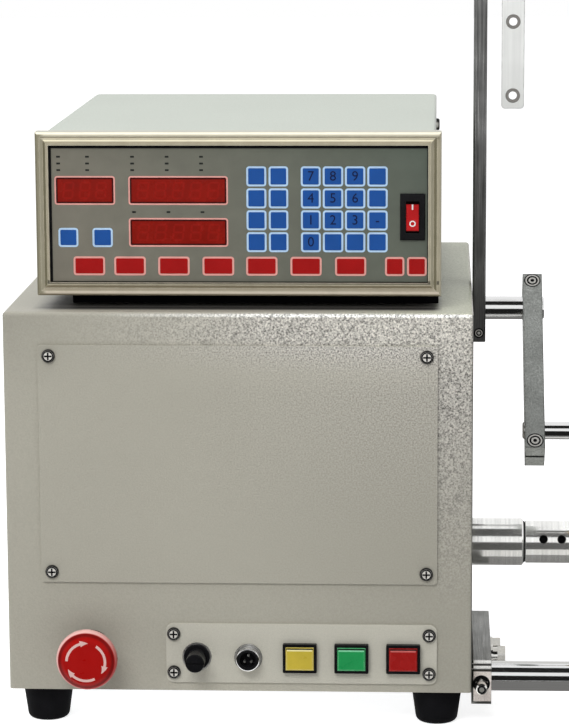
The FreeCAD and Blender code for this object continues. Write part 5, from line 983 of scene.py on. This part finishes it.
# %% Stop button arrows
ARROW_RADIUS, ARROW_WIDTH, ARROW_THICK = 12.6, 1.7, 0.02
POINT_WIDTH, POINT_HOURS, POINT_BLUNT = 4.0, 0.8, 0.05
SHAFT_STEPS, POINT_STEPS, SIDES = 14, 6, [step / 4 - 1 for step in range(9)]
head_tree = surface_tree("estop_head")


def head_point(radius, clock):
    turn = math.radians(90 - 30 * clock)
    return HEAD_X + radius * math.cos(turn), HEAD_Z + radius * math.sin(turn)


arrows = bmesh.new()
for start, finish in ((9.1, 11.45), (1.1, 3.45), (5.1, 7.45)):
    shaft = [(start + (finish - start) * i / SHAFT_STEPS, ARROW_WIDTH / 2) for i in range(SHAFT_STEPS + 1)]
    point = [(finish + POINT_HOURS * i / POINT_STEPS, POINT_WIDTH / 2 * (1 - i / POINT_STEPS) + POINT_BLUNT)
             for i in range(POINT_STEPS + 1)]
    for steps in (shaft, point):
        draped(arrows, [[head_point(ARROW_RADIUS + side * half, clock) for side in SIDES]
                        for clock, half in steps], head_tree, ARROW_THICK)
piece_of("estop_arrows", arrows, "estop_button", "red_plastic", "arrow_ink")
print("arrows made")

# %% [markdown]
# Small round details: dark wells and gaps that the solids only hint at. Each is a thin disc or ring of
# many sides, set square to the front, or on an axis that looks up where the part leans.

# %% Round details
SIDE_COUNT = 32


def loop_at(shape, centre, radius, out, tilt):
    """A loop of points round centre, out millimetres in front of it, on an axis that looks up by tilt."""
    x, y, z = centre
    turns = [2 * math.pi * i / SIDE_COUNT for i in range(SIDE_COUNT)]
    return [shape.verts.new((
        (x + radius * math.cos(turn)) * MM,
        (y - out * math.cos(tilt) + radius * math.sin(turn) * math.sin(tilt)) * MM,
        (z + out * math.sin(tilt) + radius * math.sin(turn) * math.cos(tilt)) * MM)) for turn in turns]


def ring_at(shape, centre, outer, inner, height, tilt=0.0, back=-SINK):
    """A closed ring on the face at centre, from back to height."""
    ringed(shape, [loop_at(shape, centre, radius, out, tilt)
                   for radius, out in ((outer, back), (outer, height), (inner, height), (inner, back))])


def disc_at(shape, centre, radius, height, tilt=0.0, back=-SINK):
    """A closed disc on the face at centre, from back to height."""
    capped(shape, [loop_at(shape, centre, radius, out, tilt) for out in (back, height)])


print("round details have", SIDE_COUNT, "sides")

# %% [markdown]
# The foot-switch socket has a bright flange, a black insert in its well and three pins, and the fuse
# holder a washer. The insert is a lip at the front, a lining down the wall and a floor.

# %% Socket and fuse
FLANGE_OUT, FLANGE, WASHER = 1.5, (9.0, 7.95, 0.06), (9.7, 8.5, 0.25)
LIP, WALL_DEEP, WALL, FLOOR_DEEP, FLOOR = (6.5, 5.3, 0.08), 6.0, (5.88, 5.3, 5.9), 6.3, (5.4, 0.5)
PIN_DEEP, PIN, PIN_PLACES = 5.9, (0.8, 3.6), ((0.4, 2.5), (-2.2, -1.7), (2.2, -1.7))
socket_x, socket_z, socket_front = middle_of("foot_switch_socket")
fuse_x, fuse_z, _ = middle_of("fuse_holder")
plate_front = box_of("button_plate")[0].y
flange, lining, pins, washer = (bmesh.new() for _ in range(4))
ring_at(flange, (socket_x, plate_front - FLANGE_OUT, socket_z), *FLANGE)
piece_of("socket_flange_face", flange, "cabinet", "chrome", "bright_ring")
ring_at(lining, (socket_x, socket_front, socket_z), *LIP)
ring_at(lining, (socket_x, socket_front + WALL_DEEP, socket_z), *WALL)
disc_at(lining, (socket_x, socket_front + FLOOR_DEEP, socket_z), *FLOOR)
piece_of("socket_lining", lining, "cabinet", "black_plastic")
for x, z in PIN_PLACES:
    disc_at(pins, (socket_x + x, socket_front + PIN_DEEP, socket_z + z), *PIN)
piece_of("socket_pins", pins, "cabinet", "chrome", "bright_ring")
ring_at(washer, (fuse_x, plate_front, fuse_z), *WASHER)
piece_of("fuse_washer", washer, "cabinet", "chrome", "bright_ring")
print("socket and fuse dressed", round(socket_front, 2))

# %% [markdown]
# The spindle nose has round holes for grip screws. Their walls mirror the room too brightly, so each gets
# a dark lining of painted shade that turns with the spindle. The gap between the fixed sleeve and the nose
# gets a ring of painted shade too.

# %% Painted shade in the nose's holes and gap
HOLE_COUNT, FIRST_HOLE, HOLE_PITCH, HOLE_TILT = 3, 13.0, 12.5, math.radians(20.0)
HOLE_WALL, HOLE_BACK, HOLE_FLOOR, FLOOR_BACK = (2.97, 2.5, 14.25), 10.5, (2.6, 10.7), 10.3
NOSE_GAP, GAP_SHADE_SIDES, GAP_SHADE_RING = 0.8, 48, ((-0.78, 14.5), (-0.02, 14.5), (-0.02, 13.0), (-0.78, 13.0))
spindle_low, spindle_high = box_of("spindle_shaft")
nose_start = box_of("spindle_housing")[1].x + NOSE_GAP
axis_y, axis_z = ((spindle_low[i] + spindle_high[i]) / 2 for i in (1, 2))
hole_shade, gap_shade = bmesh.new(), bmesh.new()
for hole in range(HOLE_COUNT):
    centre = (nose_start + FIRST_HOLE + HOLE_PITCH * hole, axis_y, axis_z)
    ring_at(hole_shade, centre, *HOLE_WALL, HOLE_TILT, back=HOLE_BACK)
    disc_at(hole_shade, centre, *HOLE_FLOOR, HOLE_TILT, back=FLOOR_BACK)
piece_of("nose_hole_shade", hole_shade, "spindle", "black_rubber")
turns = [2 * math.pi * i / GAP_SHADE_SIDES for i in range(GAP_SHADE_SIDES)]
ringed(gap_shade, [[gap_shade.verts.new(((nose_start + x) * MM, (axis_y + radius * math.cos(turn)) * MM,
                                   (axis_z + radius * math.sin(turn)) * MM)) for turn in turns]
                for x, radius in GAP_SHADE_RING])
piece_of("nose_gap_shade", gap_shade, "spindle", "black_rubber")
print("linings in, nose starts at", round(nose_start, 2))

# %% [markdown]
# Clamp screws read as rings of painted light and shade: painted shade in the gap round the head, a
# painted highlight on its rim, painted shade on the wall of the socket and a painted highlight on its
# floor. The rings are laid on each head in turn, from the outside in, and ride with their part.

# %% Screw rings of painted light and shade
RING_THICK = 0.06


def ringed_head(name, body, centre, radii, tilt=0.0):
    """Rings of painted shade and painted highlight in turn on a screw's head, the last one a disc."""
    shapes = (bmesh.new(), bmesh.new())
    for i, outer in enumerate(radii[:-1]):
        ring_at(shapes[i % 2], centre, outer, radii[i + 1], RING_THICK, tilt)
    disc_at(shapes[(len(radii) - 1) % 2], centre, radii[-1], RING_THICK, tilt)
    piece_of(name + "_painted_shade", shapes[0], body, "black_rubber")
    piece_of(name + "_painted_highlight", shapes[1], body, "screw_steel", "bright_ring")


ARM_LEAN, HEAD_RADIUS, SCREW_PITCH = math.radians(45.0), 5.0, 93.9
ARM_RADII, POST_RADII, CLAMP_RADII = (5.6, 4.8, 3.8, 2.6, 1.3), (3.4, 2.5, 1.9, 1.0), (2.9, 1.6)
CLAMP_UP, NUT_RADII = 4.6, (5.7, 4.0)
reach = HEAD_RADIUS * math.sin(ARM_LEAN)
arm_low, arm_high = box_of("arm_screws")
arm_x, low_screw_y, top_screw_z = (arm_low.x + arm_high.x) / 2, arm_low.y + reach, arm_high.z - reach
ringed_head("arm_top_screw", "drop_arm", (arm_x, low_screw_y + SCREW_PITCH, top_screw_z), ARM_RADII, ARM_LEAN)
ringed_head("arm_low_screw", "drop_arm", (arm_x, low_screw_y, top_screw_z - SCREW_PITCH), ARM_RADII, ARM_LEAN)
post_x, post_z, post_y = middle_of("post_screw")
ringed_head("post_screw", "traverse", (post_x, post_y, post_z), POST_RADII)
clamp_x, _, bracket_front = middle_of("rod_bracket")
clamp_low = box_of("bracket_bolts")[0]
clamp_z = clamp_low.z + CLAMP_UP
ringed_head("clamp_screw", "cabinet", (clamp_x, clamp_low.y, clamp_z), CLAMP_RADII)
nut_gap_shade = bmesh.new()
ring_at(nut_gap_shade, (clamp_x, bracket_front, clamp_z), *NUT_RADII, RING_THICK)
piece_of("clamp_nut_gap_shade", nut_gap_shade, "cabinet", "black_rubber")
print("screw rings laid, clamp at", round(clamp_x, 1), round(clamp_z, 1))

# %% [markdown]
# The pan heads of the door and the button plate have cross recesses, too deep for the light to reach, so
# black crosses of painted shade stand for them, and a black ring of painted shade lies where the dome starts.

# %% Painted shade for the cross recesses
PAN_HEIGHT, CROSS_LONG, CROSS_WIDE, CROSS_SHAPE = 2.4, 2.5, 0.55, (0.2, 0.03)
DOME_SHADE_RING, DOME_BACK = (3.6, 2.75, 0.02), -0.15
cross_shade = bmesh.new()
for sheet, inset, margin in (("access_cover", 7.0, 7.0), ("button_plate", 5.0, 7.0)):
    low, high = box_of(sheet)
    head_face = low.y - PAN_HEIGHT
    for x in (low.x + inset, high.x - inset):
        for z in (low.z + margin, high.z - margin):
            for wide, tall in ((CROSS_LONG, CROSS_WIDE), (CROSS_WIDE, CROSS_LONG)):
                flat_box(cross_shade, (x - wide, x + wide, z - tall, z + tall), head_face, *CROSS_SHAPE)
            ring_at(cross_shade, (x, head_face, z), *DOME_SHADE_RING, back=DOME_BACK)
piece_of("cross_recess_shade", cross_shade, "cabinet", "screw_steel", "black_rubber")
print("crosses cut in", PAN_HEIGHT, "mm high heads")

# %% [markdown]
# Each square cap has a strip of painted shadow along its top, where the frame shades it, and a painted
# highlight along its top edge, and both move in with the cap. A strip's numbers are its inset from the
# cap's sides, its edges' drop from the cap's top, and its shape.

# %% Cap glints: painted highlights and painted shadow
CAP_SHADE_STRIP, GLINT = (0.3, 1.2, 0.3, (0.1, 0.06)), (0.9, 2.3, 1.2, (0.3, 0.05))
for use in ("reset", "start", "stop"):
    body = use + "_button"
    low, high = box_of(body + "_cap")
    for kind, strip, slot, finish in (("_painted_shadow", CAP_SHADE_STRIP, "black_plastic", None),
                                      ("_glint", GLINT, SLOT_OF[body + "_cap"], use + "_gloss_ink")):
        inset, bottom, top, skin = strip
        shape = bmesh.new()
        flat_box(shape, (low.x + inset, high.x - inset, high.z - bottom, high.z - top), low.y, *skin)
        piece_of(body + kind, shape, body, slot, finish)
print("caps finished")

# %% [markdown]
# Light starts with the world, which gives an even fill. Rays that reach the camera straight, or by a
# mirror or glass, see plain white instead, so that the backdrop is white and the chrome has something
# bright to show. More light would whiten the backdrop too, but it would wash out the machine.

# %% World
WHITE, FILL = (1.0, 1.0, 1.0), 0.36


def seen_plainly(tree):
    """A mask that is 1 for rays from the camera, a mirror or glass."""
    ray = node_of(tree, "LightPath").outputs
    return maths("MAXIMUM", ray["Is Camera Ray"],
                 maths("MAXIMUM", ray["Is Glossy Ray"], ray["Is Transmission Ray"]))


world = bpy.data.worlds.new("studio")
bpy.context.scene.world = world
world.use_nodes = True
tree = world.node_tree
tree.nodes.clear()
chosen = node_of(tree, "MixShader")
feed(chosen.inputs[0], seen_plainly(tree))
for socket, strength in ((1, FILL), (2, 1.0)):
    sky = node_of(tree, "Background", {"Color": WHITE, "Strength": strength})
    feed(chosen.inputs[socket], sky.outputs[0])
feed(node_of(tree, "OutputWorld").inputs["Surface"], chosen.outputs[0])
print("world fill", FILL)

# %% [markdown]
# The floor is a plain pale sheet. It takes a real shadow from its diffuse part, and a little light of
# its own lifts the rest of it to white for the camera.

# %% Floor
FLOOR_HALF, FLOOR_LIFT, FLOOR_GRAIN, FLOOR_TONES = 8.0, 0.79, (0.004, 3.0), ((0.80,) * 3, (0.83,) * 3)


def stage_finish(name, base, roughness, glow, strength):
    material, tree, shader = blank_material(name)
    for label, value in (("Base Color", base(tree)), ("Roughness", roughness), ("Specular IOR Level", 0.0),
                         ("Emission Color", glow), ("Emission Strength", strength(tree))):
        feed(shader[label], value)
    return material


def sheet_of(name, corners, material):
    shape = bmesh.new()
    shape.faces.new([shape.verts.new(c) for c in corners])
    sheet = object_of(name, shape, material)
    sheet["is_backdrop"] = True
    return sheet


floor_paper = stage_finish("floor_paper", lambda tree: mixed(noise(tree, *FLOOR_GRAIN), *FLOOR_TONES), 0.9,
                           WHITE, lambda tree: times(seen_plainly(tree), FLOOR_LIFT))
sheet_of("floor", [(x * FLOOR_HALF, y * FLOOR_HALF, 0) for x, y in ((-1, -1), (1, -1), (1, 1), (-1, 1))],
         floor_paper)
print("floor laid")

# %% [markdown]
# Chrome only looks like chrome when it has dark things to mirror. Cards, which neither the camera nor the
# diffuse light sees, put the bands on the rods: a dark one bends up from the floor in front, another hangs
# high in front, a grey one lies under the rods, and a small pale one floats under the spindle.

# %% Cards
CARD_WHITE, BLACK, CARD_ROUGHNESS = (1.0, 0.99, 0.96), (0.0, 0.0, 0.0), 0.5
for name, profile, left, right, level in (
        ("card_front", ((-0.205, 0.002), (-0.9, 0.002), (-0.9, 0.24)), -2.5, 2.5, 0.015),
        ("card_high", ((-1.9, 1.55), (-0.5, 2.2)), -2.5, 2.5, 0.02),
        ("card_under", ((-0.205, 0.001), (1.6, 0.001)), 0.006, 1.5, 0.20),
        ("card_pale", ((-0.118, 0.062), (-0.070, 0.062)), 0.012, 0.4, 0.72)):
    grey = stage_finish(name, lambda tree: BLACK, CARD_ROUGHNESS, CARD_WHITE, lambda tree, level=level: level)
    for i, ((near_y, near_z), (far_y, far_z)) in enumerate(zip(profile, profile[1:])):
        card = sheet_of(f"{name}_{i}", [(left, near_y, near_z), (right, near_y, near_z),
                                        (right, far_y, far_z), (left, far_y, far_z)], grey)
        card.visible_camera = False
        card.visible_diffuse = False
        card.visible_shadow = False
print("cards placed")

# %% [markdown]
# Two soft boxes light the machine, as on a product table: a broad one overhead and one high in front.
# Mirrors don't see them, because the cards and the white world already draw the chrome.

# %% Lamps
AIM = Vector((0.0, 0.0, 0.2))
for name, place, size, power in (("overhead", (-0.3, -0.2, 2.4), (2.0, 2.0), 27.5),
                                 ("front_high", (-0.8, -2.5, 2.3), (1.8, 1.2), 53.0)):
    lamp = bpy.data.lights.new(name, "AREA")
    lamp.shape = "RECTANGLE"
    lamp.size, lamp.size_y = size
    lamp.energy = power
    holder = bpy.data.objects.new(name, lamp)
    holder.location = place
    holder.rotation_euler = (AIM - Vector(place)).to_track_quat("-Z", "Y").to_euler()
    holder.visible_glossy = False
    bpy.context.scene.collection.objects.link(holder)
bpy.context.scene.view_settings.view_transform = "Standard"
print("lamps placed")

# %% [markdown]
# Last, the size of the dressed model is printed. It should be the same as that of the solids.

# %% Sizes and finish
low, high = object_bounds()
print("dressed size", [round(high[i] - low[i], 4) for i in range(3)])
